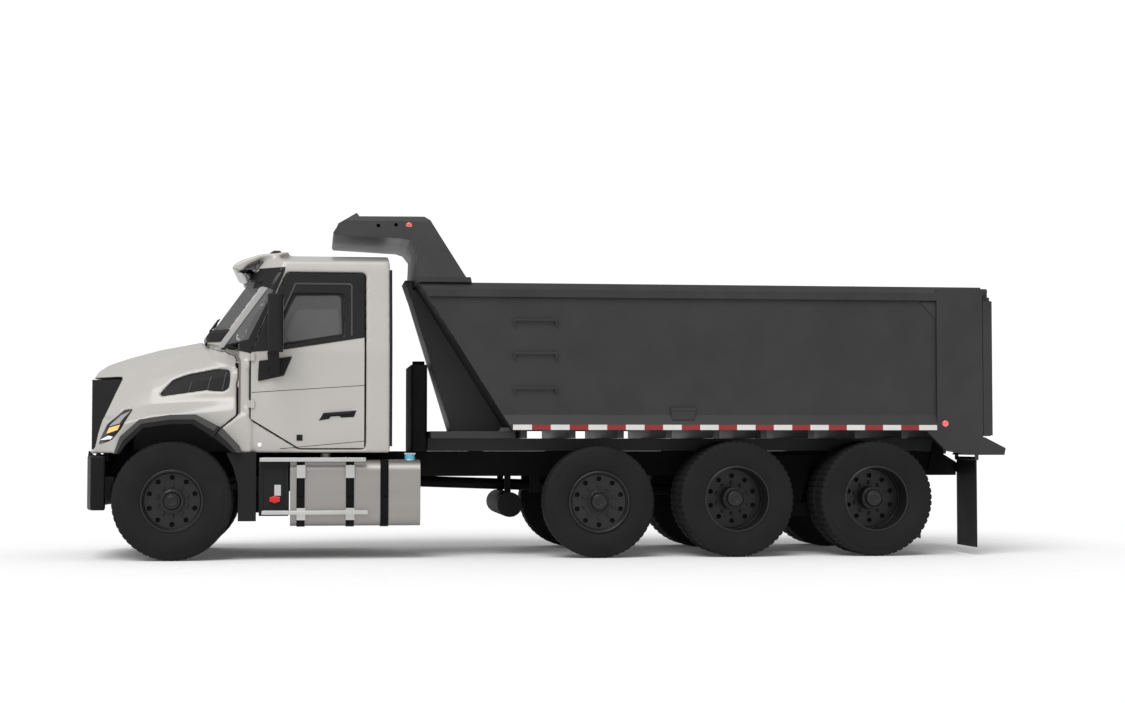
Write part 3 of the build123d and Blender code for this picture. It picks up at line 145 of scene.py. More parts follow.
finish = {
    "cab": material("cab_grey", (0.445, 0.43, 0.405), 0.34, coat=0.35, blotch=0.025, grain=0.04,
                    grain_size=900, edge=0.006),
    "body": material("graphite_satin", (0.027, 0.0255, 0.026), 0.45, grain=0.12, grain_size=260,
                     specular=0.35, edge=0.004),
    "chassis": material("chassis_black", (0.0045, 0.0045, 0.005), 0.6, blotch=0.3, grain=0.2,
                        grain_size=180, specular=0.1, edge=0.004),
    "bumper": material("bumper_black", (0.006, 0.006, 0.0063), 0.5, grain=0.3, grain_size=900,
                       specular=0.15, edge=0.006),
    "plastic": material("black_plastic", (0.010, 0.010, 0.0105), 0.5, grain=0.35, grain_size=1200,
                        specular=0.2, edge=0.005),
    # Dark grey plastic for the window frames and vent bars, and a painted sheen on the flares' crowns
    "plastic_and_sheen": material("grey_plastic_and_sheen", (0.055, 0.054, 0.053), 0.55, blotch=0.1, grain=0.35,
                              grain_size=1200, specular=0.3, edge=0.005),
    "gloss_black": material("gloss_black", (0.010, 0.010, 0.0105), 0.25, blotch=0.1, specular=0.3,
                            edge=0.003),
    # Near-black for the drum behind the wheel discs, and painted shade in the door's creases, behind the grille
    # and in the gap over the bumper
    "dark_and_shade": material("dark_and_painted_shade", (0.012, 0.011, 0.010), 0.7, blotch=0.1, specular=0.2),
    "rubber_seal": material("seal_grey", (0.16, 0.15, 0.125), 0.7, blotch=0.1, specular=0.2),
    "strip": material("pillar_strip", (0.36, 0.355, 0.35), 0.35, metal=0.2, blotch=0.05, grain=0.1),
    "tank": material("brushed_aluminium", (0.34, 0.325, 0.31), 0.42, metal=0.75, blotch=0.06,
                     blotch_size=5, grain=0.25, grain_size=300, stretch=(0.04, 1, 1), edge=0.004),
    "bright": material("stainless", (0.60, 0.60, 0.59), 0.3, metal=0.9, blotch=0.08, grain=0.1),
    "rubber": material("tyre_rubber", (0.0105, 0.0100, 0.0100), 0.75, blotch=0.25, grain=0.3,
                       grain_size=600, specular=0.18),
    "rim": material("rim_black", (0.0085, 0.0085, 0.009), 0.38, coat=0.1, blotch=0.2, grain=0.08,
                    specular=0.35, edge=0.002),
    "pane": glass("grey_pane", (0.105, 0.106, 0.107), 0.62),
    "dull_pane": material("dull_pane", (0.105, 0.106, 0.107), 0.12, blotch=0.05, specular=0.3),
    "white_lamp": glowing("white_lamp", (0.85, 0.87, 0.92), 0.35),
    "amber": glowing("amber_lamp", (0.80, 0.50, 0.18), 0.3),
    "marker_red": glowing("marker_red", (0.80, 0.13, 0.12), 0.12),
    "seat": material("seat_cloth", (0.045, 0.046, 0.05), 0.9, blotch=0.2, grain=0.8, grain_size=700),
    "hoist": material("hoist_steel", (0.33, 0.33, 0.34), 0.32, metal=0.8),
    "engine": material("engine_grey", (0.05, 0.05, 0.052), 0.6, blotch=0.3, grain=0.4, grain_size=120),
    "tape_white": material("tape_white", (0.62, 0.60, 0.59), 0.35, coat=0.3, blotch=0.08, grain=0.25,
                           grain_size=350),
    "tape_red": material("tape_red", (0.22, 0.008, 0.008), 0.35, coat=0.3, grain=0.25, grain_size=350),
    "lever_red": material("lever_red", (0.55, 0.012, 0.012), 0.4, blotch=0.08, grain=0.1),
    "cap_blue": material("cap_blue", (0.10, 0.42, 0.60), 0.4, blotch=0.08, grain=0.1),
    "mirror": material("mirror_glass", (0.8, 0.8, 0.8), 0.03, metal=1.0, blotch=0.02,
                       rough_spread=0.01),
    "wear": material("worn_steel", (0.055, 0.052, 0.050), 0.5, metal=0.3, blotch=0.3, blotch_size=6,
                     grain=0.4, grain_size=90),
}
slot_finish = {
    "cab_paint": "cab",
    "body_paint": "body",
    "chassis_black": "chassis",
    "black_plastic": "plastic",
    "tank_metal": "tank",
    "tyre_rubber": "rubber",
    "rim_black": "rim",
    "pane": "pane",
    "lamp": "gloss_black",
    "lamp_red": "chassis",
    "seat_cloth": "seat",
    "hoist_steel": "hoist",
    "engine_grey": "engine",
}
node_slot = {part["node"]: part["material_slot"] for part in frame["record"]["subparts"]}


def wear_finish(obj, key):
    """Gives an object its one material."""
    obj.data.materials.clear()
    obj.data.materials.append(finish[key])


for name, solid in nodes.items():
    wear_finish(solid, slot_finish[node_slot[name]])
wear_finish(nodes["grille"], "gloss_black")

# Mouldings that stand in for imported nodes
EASE = 0.5  # share by which each smoothing round draws a point towards its neighbours
node_body = {node: body for body, members in frame["record"]["behaviour"]["bodies"].items()
             for node in members}


def moulded(name, voxel, rounds, key=None, added=()):
    """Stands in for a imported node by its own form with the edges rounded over, as on a moulding.
    Added closed forms, (points, faces), melt into it."""
    obj = bpy.data.objects.new(f"{name}_moulding", nodes[name].data.copy())
    shape = bmesh.new()
    shape.from_mesh(obj.data)
    for points, faces in added:
        corners = [shape.verts.new(point) for point in points]
        made = [shape.faces.new([corners[i] for i in face]) for face in faces]
        bmesh.ops.recalc_face_normals(shape, faces=made)
    shape.to_mesh(obj.data)
    shape.free()
    bpy.context.collection.objects.link(obj)
    grid = obj.modifiers.new("grid", "REMESH")
    grid.mode = "VOXEL"
    grid.voxel_size = voxel
    grid.use_smooth_shade = True
    ease = obj.modifiers.new("ease", "SMOOTH")
    ease.factor = EASE
    ease.iterations = rounds
    seen = obj.evaluated_get(bpy.context.evaluated_depsgraph_get())
    finished = bpy.data.meshes.new_from_object(seen)
    obj.modifiers.clear()
    obj.data = finished
    wear_finish(obj, key or slot_finish[node_slot[name]])
    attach(obj, node_body[name])
    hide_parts(name)
    return obj


# Shoulders between the hood's rear edge and the windscreen's foot, part on the hood, part on the cab.
# Columns: foot on the hood's edge, joint at the seal, head under the windscreen's foot, each (x, y, z)
shoulder_table = [
    ((0.598, 1.052, 1.700), (0.600, 1.066, 1.800), (0.660, 1.098, 1.930)),
    ((0.596, 1.032, 1.765), (0.598, 1.062, 1.862), (0.620, 1.062, 1.966)),
    ((0.590, 1.006, 1.798), (0.566, 1.022, 1.926), (0.562, 1.006, 1.975)),
    ((0.462, 0.953, 1.838), (0.468, 0.955, 1.966), (0.470, 0.934, 1.996)),
    ((0.346, 0.899, 1.866), (0.378, 0.888, 1.985), (0.392, 0.868, 2.014)),
    ((0.308, 0.800, 1.925), (0.322, 0.765, 2.005), (0.330, 0.740, 2.030)),
    ((0.266, 0.450, 2.028), (0.270, 0.450, 2.034), (0.280, 0.450, 2.042)),
]
SHOULDER_SUNK = Vector((-0.060, -0.014, -0.040))  # the foot's overlap under the hood
JOINT_STEP = Vector((0.0, -0.012, -0.012))  # the cab's part lies this much lower
HOOD_SHOULDER_BOW = 0.010
HOOD_SHOULDER_SHEET = (0.0, -0.018, -0.024)  # thickness, from the outer face to the inner one
CAB_SHOULDER_SHEET = (0.008, -0.008, -0.008)
SHARES = (0.0, 0.25, 0.5, 0.75, 1.0)  # points along each line of a sheet


def strip_form(lines, out, thick):
    """Closed form of a sheet through lines of as many points (x, y, z), thickened by a vector."""
    outer = [(station(x), out * y, z) for line in lines for x, y, z in line]
    inner = [(x + thick[0], y + out * thick[1], z + thick[2]) for x, y, z in outer]
    rows, count = len(lines[0]), len(outer)
    faces = []
    for i in range(len(lines) - 1):
        for j in range(rows - 1):
            a, b = i * rows + j, (i + 1) * rows + j
            faces.append((a, b, b + 1, a + 1))
            faces.append((a + count, a + 1 + count, b + 1 + count, b + count))
        for a, b in ((i * rows, (i + 1) * rows), ((i + 1) * rows + rows - 1, i * rows + rows - 1)):
            faces.append((a, a + count, b + count, b))
    last = (len(lines) - 1) * rows
    for j in range(rows - 1):
        faces.append((j + 1, j + 1 + count, j + count, j))
        faces.append((last + j, last + j + count, last + j + 1 + count, last + j + 1))
    return outer + inner, faces


def shoulder_lines(low, high, bow):
    """Lines of points from a low place to a high one, bowed outwards."""
    lines = []
    for places in shoulder_table:
        start, end = low(places), high(places)
        line = []
        for share in SHARES:
            point = start.lerp(end, share)
            point.y += bow * sin(pi * share)
            line.append(point)
        lines.append(line)
    return lines


hood_shoulder = shoulder_lines(lambda at: Vector(at[0]), lambda at: Vector(at[1]), HOOD_SHOULDER_BOW)
hood_shoulder = [[line[0] + SHOULDER_SUNK] + line for line in hood_shoulder]
cab_shoulder = shoulder_lines(lambda at: Vector(at[1]) + JOINT_STEP, lambda at: Vector(at[2]), 0.0)
hood_added = [strip_form(hood_shoulder, out, HOOD_SHOULDER_SHEET) for out in SIDES.values()]

# Columns: node, grid size, smoothing rounds, finish, forms melted into it
moulding_table = [
    ("hood", 0.0125, 11, "cab", hood_added),
    ("cab_shell", 0.019, 4, "cab", ()),
    ("bumper", 0.013, 5, "bumper", ()),
    ("mirror_left", 0.007, 5, "plastic", ()),
    ("mirror_right", 0.007, 5, "plastic", ()),
]
mouldings = {}
for name, voxel, rounds, key, added in moulding_table:
    mouldings[name] = moulded(name, voxel, rounds, key, added)
moulded("seats", 0.012, 24)

# Shapes
ROUNDED_ANGLE = 40  # degrees: sharper edges than this are rounded by a piece's bevel
BOX_FACES = [(0, 1, 3, 2), (4, 6, 7, 5), (0, 4, 5, 1), (2, 3, 7, 6), (0, 2, 6, 4), (1, 5, 7, 3)]


def piece(name, points, faces, key, body, smooth=False, bevel=0.0, slot=None):
    """A mesh piece that rides on a body, its edges rounded by bevel."""
    mesh = bpy.data.meshes.new(name)
    mesh.from_pydata([tuple(p) for p in points], [], faces)
    mesh.validate()
    obj = bpy.data.objects.new(name, mesh)
    bpy.context.collection.objects.link(obj)
    shape = bmesh.new()
    shape.from_mesh(mesh)
    bmesh.ops.recalc_face_normals(shape, faces=shape.faces)
    for face in shape.faces:
        face.smooth = smooth
    shape.to_mesh(mesh)
    shape.free()
    wear_finish(obj, key)
    if bevel:
        rounding = obj.modifiers.new("edges", "BEVEL")
        rounding.width = bevel
        rounding.segments = 2
        rounding.limit_method = "ANGLE"
        rounding.angle_limit = radians(ROUNDED_ANGLE)
    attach(obj, body)
    return obj


class Shapes:
    """Points and faces of several closed forms, gathered into one mesh."""

    def __init__(self):
        self.points = []
        self.faces = []

    def add(self, points, faces):
        start = len(self.points)
        self.points += [Vector(p) for p in points]
        self.faces += [[start + i for i in face] for face in faces]

    def box(self, x, y, z):
        """Box between (low, high) pairs."""
        self.add([(station(a), b, c) for a in x for b in y for c in z], BOX_FACES)

    def side_box(self, out, x, y, z):
        """Box on one side of the truck, with y counted outwards."""
        self.box(x, sorted(out * v for v in y), z)

    def prism(self, start, end, radius, count=24, turn=0.0, end_radius=None):
        """Round or polygonal bar between two points."""
        start, end = Vector(start), Vector(end)
        along = (end - start).normalized()
        across = along.orthogonal().normalized()
        other = along.cross(across)
        points = []
        for centre, size in ((start, radius), (end, radius if end_radius is None else end_radius)):
            for i in range(count):
                angle = turn + 2 * pi * i / count
                points.append(centre + size * (cos(angle) * across + sin(angle) * other))
        faces = [(i, (i + 1) % count, count + (i + 1) % count, count + i) for i in range(count)]
        faces += [tuple(range(count))[::-1], tuple(range(count, 2 * count))]
        self.add(points, faces)

    def turned(self, centre, outward, profile, count=72):
        """Closed profile of (distance outward, radius) turned about an axis along Y."""
        ring = len(profile)
        points = []
        for i in range(count):
            angle = 2 * pi * i / count
            for out, radius in profile:
                points.append((centre[0] + radius * cos(angle), centre[1] + outward * out,
                               centre[2] + radius * sin(angle)))
        faces = []
        for i in range(count):
            for j in range(ring):
                a, b = i * ring + j, i * ring + (j + 1) % ring
                faces.append((a, b, (b + ring) % len(points), (a + ring) % len(points)))
        self.add(points, faces)

    def plate(self, outline, y_in, y_out):
        """Plate between two y planes with an (x, z) outline."""
        count = len(outline)
        points = [(station(x), y, z) for y in (y_in, y_out) for x, z in outline]
        faces = [(i, (i + 1) % count, count + (i + 1) % count, count + i) for i in range(count)]
        faces += [tuple(range(count))[::-1], tuple(range(count, 2 * count))]
        self.add(points, faces)

    def make(self, name, key, body, **rest):
        return piece(name, self.points, self.faces, key, body, **rest)


# Tyres: ribs, shoulder lugs and side wall rings over the plain solids
# Columns: name, ribs across the tread, depth of the cuts across it, whether the tyres are twins
tyre_table = [
    ("steer", 5, 0.006, False),
    ("pusher", 5, 0.006, False),
    ("drive_1", 4, 0.012, True),
    ("drive_2", 4, 0.012, True),
]
# Side wall from the bead to the shoulder
# Columns: share of the half width, share of the rise from bead to tread, kind
wall_table = [
    (0.80, 0.0, "wall"),
    (0.86, 0.045, "wall"),
    (0.87, 0.085, "ring"),
    (0.955, 0.22, "wall"),
    (0.995, 0.42, "wall"),
    (1.0, 0.52, "wall"),
    (0.985, 0.62, "wall"),
    (0.97, 0.70, "ring"),
    (0.955, 0.715, "wall"),
    (0.93, 0.84, "wall"),
    (0.895, 0.925, "shoulder"),
]
TREAD_STEPS = 220  # around the tyre
CUT_EVERY = 4  # steps from one cut across the tread to the next
TREAD_SHARE = 0.86  # of the tyre's half width
RIB_EDGE = 0.006
RING_RISE = 0.003
SHOULDER_DROP = 0.0055
GROOVE_DEPTH = 0.014
GROOVE_HALF = 0.6  # half of a groove's bottom, as a share of a rib's edge
SHOULDER_CUT = 0.5  # share of the cuts' depth on the shoulders
RIB_CUT = {"single": 0.3, "twin": 0.7}
TREAD_GAP = 0.0005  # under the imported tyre's outline
BEAD_GAP = 0.0008  # over the rim's flange
CREASE_ANGLE = 32
TWIN_SPACING = 0.335


def tyre_profile(half, radius, bead, ribs):
    """(across, radius, kind) points from the inner bead to the outer one."""
    rise = radius - bead
    left = [(-share * half, bead + up * rise + (RING_RISE if kind == "ring" else 0), kind)
            for share, up, kind in wall_table]
    crown = []
    tread_half = TREAD_SHARE * half
    for rib in range(ribs):
        low = -tread_half + 2 * tread_half * rib / ribs
        high = -tread_half + 2 * tread_half * (rib + 1) / ribs
        drop_low = SHOULDER_DROP if rib == 0 else 0.0
        drop_high = SHOULDER_DROP if rib == ribs - 1 else 0.0
        kind = "lug" if rib in (0, ribs - 1) else "rib"
        crown.append((low + RIB_EDGE, radius - drop_low, kind))
        crown.append(((low + high) / 2, radius, kind))
        crown.append((high - RIB_EDGE, radius - drop_high, kind))
        if rib < ribs - 1:
            crown.append((high - RIB_EDGE * GROOVE_HALF, radius - GROOVE_DEPTH, "groove"))
            crown.append((high + RIB_EDGE * GROOVE_HALF, radius - GROOVE_DEPTH, "groove"))
    right = [(-across, r, kind) for across, r, kind in reversed(left)]
    return left + crown + right


def tyre(name, ribs, cut, twin, side):
    """Replaces a tyre's plain solid by one with its tread, in the same outline."""
    node = f"{name}_tyre_{side}"
    low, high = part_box(node)
    centre = (low + high) / 2
    radius = (high.z - low.z) / 2
    rim_low, rim_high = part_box(f"{name}_rim_{side}")
    bead = (rim_high.z - rim_low.z) / 2
    width = high.y - low.y
    middles = (centre.y,)
    if twin:
        width -= TWIN_SPACING
        middles = (low.y + width / 2, high.y - width / 2)
    profile = tyre_profile(width / 2, radius - TREAD_GAP, bead + BEAD_GAP, ribs)
    rib_cut = cut * RIB_CUT["twin" if twin else "single"]
    cut_depth = {"lug": cut, "shoulder": cut * SHOULDER_CUT, "rib": rib_cut}
    ring = len(profile)
    points, faces = [], []
    for middle in middles:
        start = len(points)
        for step in range(TREAD_STEPS):
            angle = 2 * pi * step / TREAD_STEPS
            cut_here = step % CUT_EVERY == CUT_EVERY - 1
            for across, r, kind in profile:
                if cut_here:
                    r -= cut_depth.get(kind, 0.0)
                points.append((centre.x + r * cos(angle), middle + across, centre.z + r * sin(angle)))
        for step in range(TREAD_STEPS):
            here = start + step * ring
            after = start + (step + 1) % TREAD_STEPS * ring
            for j in range(ring - 1):
                faces.append((here + j, here + j + 1, after + j + 1, after + j))
            faces.append((here + ring - 1, here, after, after + ring - 1))
    obj = piece(f"{name}_tread_{side}", points, faces, "rubber", f"{name}_wheel_{side}", slot="tyre_rubber")
    for face in obj.data.polygons:
        face.use_smooth = True
    obj.modifiers.new("creases", "EDGE_SPLIT").split_angle = radians(CREASE_ANGLE)
    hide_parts(node)


for name, ribs, cut, twin in tyre_table:
    for side in SIDES:
        tyre(name, ribs, cut, twin, side)


# Wheels: nuts, hub bolts, flange lips, hub covers and the drums behind the discs
# Columns: disc face and hub face out from the truck's middle, nut circle radius, hub cover radius
wheel_table = {
    "steer": (1.1105, 1.1425, 0.143, 0.062),
    "pusher": (1.1675, 1.1835, 0.150, 0.080),
    "drive_1": (0.9305, 1.0805, 0.150, 0.082),
    "drive_2": (0.9305, 1.0805, 0.150, 0.082),
}
# Washer, nut and stud. Columns: from and to, out from the disc, radius, number of sides
nut_table = [(-0.002, 0.006, 0.022, 20), (0.004, 0.028, 0.0175, 6), (0.020, 0.040, 0.010, 12)]
NUTS = 10
HUB_BOLTS = 8
HUB_BOLT = (-0.002, 0.008, 0.009)  # from and to, out from the hub's face, and radius
HUB_BOLT_INSET = 0.018
HUB_RADIUS = 0.112
DRUM_BACK = (-0.045, -0.035)  # the drum's face, out from the disc's
DRUM_RADII = (0.170, 0.262)
HEXAGON = 6


def wheel_nuts(name, side, centre):
    """The disc's nuts on their washers and studs, and the hub's bolts."""
    disc, hub, circle, _ = wheel_table[name]
    out = SIDES[side]
    work = Shapes()
    for i in range(NUTS):
        angle = 2 * pi * (i + 0.5) / NUTS
        x, z = centre.x + circle * cos(angle), centre.z + circle * sin(angle)
        for low, high, radius, count in nut_table:
            turn = angle if count == HEXAGON else 0.0
            work.prism((x, out * (disc + low), z), (x, out * (disc + high), z), radius, count, turn)
    reach = HUB_RADIUS - HUB_BOLT_INSET
    low, high, radius = HUB_BOLT
    for i in range(HUB_BOLTS):
        angle = 2 * pi * i / HUB_BOLTS
        x, z = centre.x + reach * cos(angle), centre.z + reach * sin(angle)
        work.prism((x, out * (hub + low), z), (x, out * (hub + high), z), radius, HEXAGON)
    work.make(f"{name}_nuts_{side}", "rim", f"{name}_wheel_{side}", bevel=0.0012)


def wheel_rings(name, side, centre):
    """The flange's lip, the ring round the disc, the hub's flange and its cover."""
    disc, hub, _, cap = wheel_table[name]
    out = SIDES[side]
    low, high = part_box(f"{name}_rim_{side}")
    radius = (high.z - low.z) / 2
    edge = abs(high.y if out > 0 else low.y)
    lip = radius - 0.002
    rings = Shapes()
    rings.turned(centre, out, [(edge - 0.020, lip - 0.012), (edge - 0.004, lip - 0.010), (edge + 0.0005, lip),
                               (edge - 0.004, lip + 0.010), (edge - 0.012, lip + 0.012), (edge - 0.012, lip)])
    rings.turned(centre, out, [(disc - 0.001, radius - 0.030), (disc + 0.012, radius - 0.020),
                               (disc + 0.018, radius - 0.013), (disc - 0.001, radius - 0.012)])
    rings.turned(centre, out, [(hub - 0.002, HUB_RADIUS - 0.004), (hub + 0.006, HUB_RADIUS - 0.008),
                               (hub + 0.006, cap + 0.012), (hub - 0.002, cap + 0.010)])
    rings.turned(centre, out, [(hub + 0.028, cap - 0.002), (hub + 0.036, cap - 0.012), (hub + 0.038, 0.030),
                               (hub + 0.034, 0.026), (hub + 0.028, 0.026)])
    rings.make(f"{name}_rings_{side}", "rim", f"{name}_wheel_{side}", smooth=True)


def wheel_drum(name, side, centre):
    """Dark drum face that shows through the disc's hand holes."""
    near, far = [wheel_table[name][0] + back for back in DRUM_BACK]
    inner, outer = DRUM_RADII
    drum = Shapes()
    drum.turned(centre, SIDES[side], [(near, inner), (far, inner), (far, outer), (near, outer)])
    drum.make(f"{name}_drum_{side}", "dark_and_shade", f"{name}_wheel_{side}")


for name in wheel_table:
    for side in SIDES:
        spin = joint_at[f"{name}_spin_{side}"]
        for dress in (wheel_nuts, wheel_rings, wheel_drum):
            dress(name, side, Vector((spin.x, 0, spin.z)))


# Skins laid over the solids, each from an outline in the side view
SIDE_VIEW_Y = 1.6  # rays towards the truck's side start this far out
LEAST_Y = 0.3  # a face nearer the middle than this isn't the side's own
FIRST_Y = 1.1  # guess for a first point whose ray misses
MOST_CUTS = 6  # rounds of halving a skin's long edges


def solid_tree(*things):
    """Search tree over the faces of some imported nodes, by name, and of some pieces."""
    points, faces = [], []
    for thing in things:
        start = len(points)
        mesh = nodes[thing].data if isinstance(thing, str) else thing.data
        points += [v.co.copy() for v in mesh.vertices]
        faces += [[start + i for i in face.vertices] for face in mesh.polygons]
    return BVHTree.FromPolygons(points, faces)


def skin(name, outlines, side, on, key, body, proud=0.003, cell=0.05, sink=0.004, bevel=0.001, face=None):
    """Panel with an (x, z) outline, laid on the outer side of some solids. Later outlines are holes.
    With face, a function of the height, it lies on that face instead."""
    out = SIDES[side]
    tree = solid_tree(*on)
    drawn = bpy.data.curves.new(name, "CURVE")
    drawn.dimensions = "2D"
    drawn.fill_mode = "BOTH"
    for outline in outlines:
        line = drawn.splines.new("POLY")
        line.points.add(len(outline) - 1)
        for point, (x, z) in zip(line.points, outline):
            point.co = (x, z, 0, 1)
        line.use_cyclic_u = True
    flat = bpy.data.objects.new(name + "_flat", drawn)
    bpy.context.collection.objects.link(flat)
    mesh = bpy.data.meshes.new_from_object(flat)
    bpy.data.objects.remove(flat)
    shape = bmesh.new()
    shape.from_mesh(mesh)
    bmesh.ops.remove_doubles(shape, verts=shape.verts, dist=1e-5)
    for _ in range(MOST_CUTS):
        long_edges = [edge for edge in shape.edges if edge.calc_length() > cell]
        if not long_edges:
            break
        bmesh.ops.subdivide_edges(shape, edges=long_edges, cuts=1)
        bmesh.ops.triangulate(shape, faces=shape.faces)
    points = []
    last = FIRST_Y
    for v in shape.verts:
        start = Vector((station(v.co.x), out * SIDE_VIEW_Y, v.co.y))
        if face:
            points.append((start.x, face(start.z), start.z))
            continue
        hit = tree.ray_cast(start, Vector((0, -out, 0)))[0]
        if hit is None or hit.y * out < LEAST_Y:
            hit = tree.find_nearest(Vector((start.x, out * last, start.z)))[0]
        last = abs(hit.y)
        points.append((start.x, last, start.z))
    outer = [(x, out * (y + proud), z) for x, y, z in points]
    inner = [(x, out * (y - sink), z) for x, y, z in points]
    shape.verts.index_update()
    faces = [[v.index for v in face.verts] for face in shape.faces]
    count = len(points)
    rims = [[edge.verts[0].index, edge.verts[1].index] for edge in shape.edges if edge.is_boundary]
    shape.free()
    all_faces = faces + [[i + count for i in reversed(face)] for face in faces]
    all_faces += [(a, b, b + count, a + count) for a, b in rims]
    return piece(f"{name}_{side}", outer + inner, all_faces, key, body, bevel=bevel)


# Tape along the body's lower edge, both sides: blocks in turn white and red
TAPE_Z = (1.2155, 1.2655)
TAPE_FROM, TAPE_TO = 3.170, 7.304
TAPE_BLOCKS = 23
TAPE_THICK = 0.0015
SIDE_Y = 1.22
for side, out in SIDES.items():
    for colour, first in (("tape_white", 0), ("tape_red", 1)):
        blocks = Shapes()
        pitch = (TAPE_TO - TAPE_FROM) / TAPE_BLOCKS
        for i in range(first, TAPE_BLOCKS, 2):
            at = TAPE_FROM + i * pitch
            blocks.side_box(out, (at, at + pitch), (SIDE_Y, SIDE_Y + TAPE_THICK), TAPE_Z)
        blocks.make(f"{colour}_{side}", colour, "bed")

# Outlines in the side view, in metres behind the steering axle and above the ground
WINDOW = [(0.872, 1.985), (1.074, 2.468), (1.094, 2.497), (1.128, 2.508), (1.545, 2.508), (1.580, 2.495),
          (1.590, 2.460), (1.590, 2.092)]
BAND = [(0.722, 1.945), (1.047, 2.698), (1.774, 2.698), (1.774, 2.087), (1.019, 1.968)]
WINDOW_FRAME = [(0.985, 2.290), (1.119, 2.606), (1.640, 2.606), (1.662, 2.584), (1.662, 2.105),
                (1.646, 2.102), (1.646, 2.578), (1.634, 2.590), (1.130, 2.590), (1.001, 2.284)]
PILLAR = [(0.430, 1.972), (0.470, 2.016), (0.688, 2.062), (0.918, 2.535), (0.866, 2.556), (0.815, 2.572),
          (0.722, 2.560), (0.745, 2.640), (0.790, 2.700), (1.020, 2.706), (0.702, 1.935), (0.600, 1.958)]
PILLAR_STRIP = [(0.397, 1.992), (0.455, 1.988), (0.866, 2.556), (0.815, 2.572)]
QUARTER_PANE = [(0.470, 2.016), (0.866, 2.556), (0.918, 2.535), (0.688, 2.062)]
VISOR_SHADE = [(0.560, 2.722), (0.660, 2.735), (0.790, 2.752), (1.030, 2.757), (1.020, 2.706), (0.790, 2.700),
               (0.700, 2.690), (0.640, 2.700)]
SEAM_SEAL = [(0.601, 1.360), (0.617, 1.360), (0.617, 1.862), (0.588, 1.925), (0.492, 1.976), (0.480, 1.964),
             (0.572, 1.915), (0.601, 1.856)]
# Thin dark strips that paint the shade in the door's two creases
DOOR_CREASE_SHADES = [[(0.990, 1.036), (1.782, 1.108), (1.782, 1.113), (0.990, 1.041)],
                [(0.722, 1.562), (1.780, 1.632), (1.780, 1.637), (0.722, 1.567)]]
HANDLE_CUP = [(1.350, 1.303), (1.392, 1.374), (1.700, 1.398), (1.678, 1.337), (1.560, 1.330), (1.540, 1.345),
              (1.460, 1.340), (1.445, 1.318)]
HANDLE_BAR = [(1.400, 1.352), (1.410, 1.372), (1.668, 1.392), (1.660, 1.366)]
LAMP_WHITE = [(-0.690, 1.118), (-0.590, 1.160), (-0.545, 1.150), (-0.570, 1.128)]
LAMP_AMBER = [(-0.610, 1.178), (-0.585, 1.232), (-0.478, 1.262), (-0.500, 1.212)]
LAMP_STREAK = [(-0.585, 1.245), (-0.480, 1.352), (-0.400, 1.392), (-0.470, 1.300), (-0.480, 1.275)]
VENT_BARS = [[(0.122, 1.552), (0.134, 1.553), (0.172, 1.668), (0.160, 1.664)],
             [(0.303, 1.574), (0.315, 1.574), (0.350, 1.722), (0.338, 1.718)],
             [(0.443, 1.584), (0.455, 1.584), (0.490, 1.756), (0.478, 1.752)]]
FLARE_OUTER = [(-0.529, 0.992), (-0.472, 1.151), (-0.297, 1.310), (-0.016, 1.353), (0.215, 1.357),
               (0.446, 1.237)]
FLARE_INNER = [(-0.480, 0.992), (-0.415, 1.083), (-0.262, 1.231), (-0.008, 1.268), (0.183, 1.268),
               (0.373, 1.144)]
TAIL_OUTER = [(0.455, 1.234), (0.615, 1.066), (0.637, 1.003)]
TAIL_INNER = [(0.382, 1.141), (0.459, 1.083), (0.551, 1.003)]
FLARE_JOINT = [(0.446, 1.237), (0.373, 1.144), (0.349, 1.162), (0.421, 1.252)]
DOOR_SOCKET = [(1.142, 1.113), (1.198, 1.113), (1.198, 1.170), (1.142, 1.170)]
MARKER_AT = (0.800, 1.076)
MARKER_RADIUS = 0.018
SEAL_COVER = 0.040  # how far the window's seal covers the pane
DOOR_PLAIN = 1.72  # where the door is plain from its sill to its top
DOOR_HEIGHTS = (1.04, 2.70)


def disc(x, z, radius, count=24):
    """Round (x, z) outline."""
    angles = [2 * pi * i / count for i in range(count)]
    return [(x + radius * cos(angle), z + radius * sin(angle)) for angle in angles]


def shrunk(outline, amount):
    """Outline drawn in towards its middle by about an amount."""
    cx = sum(x for x, z in outline) / len(outline)
    cz = sum(z for x, z in outline) / len(outline)
    made = []
    for x, z in outline:
        away = Vector((x - cx, z - cz))
        kept = max(0.0, 1 - amount / away.length)
        made.append((cx + away.x * kept, cz + away.y * kept))
    return made


def between(first, second, share):
    """Line that runs between two lines of as many points, this share of the way across."""
    return [(a + (c - a) * share, b + (d - b) * share) for (a, b), (c, d) in zip(first, second)]


def door_face(side):
    """Function that says how far out the door's face lies at a height."""
    tree = solid_tree(f"door_{side}")

    def out_at(z):
        level = min(max(z, DOOR_HEIGHTS[0]), DOOR_HEIGHTS[1])
        for nudge in (0, 0.001, -0.001):
            start = Vector((station(DOOR_PLAIN), SIDES[side] * SIDE_VIEW_Y, level + nudge))
            hit = tree.ray_cast(start, Vector((0, -SIDES[side], 0)))[0]
            if hit is not None:
                return abs(hit.y)
        return abs(tree.find_nearest(start)[0].y)
    return out_at


# Black panels across the cab's front: one under the windscreen, and one over it that paints the shade under the
# visor
# Columns: name, (low, high) heights, reach either side of the middle
front_table = [
    ("screen_foot", (2.046, 2.166), 0.93),
    # Over the windscreen: a sheet of painted shade under the visor
    ("screen_header", (2.640, 2.712), 0.86),
]
FRONT_COLUMNS = 40
FRONT_PROUD = 0.016
FRONT_SHEET = (0.022, 0.0, 0.0)
AHEAD = -1.0  # rays towards the cab's front start here


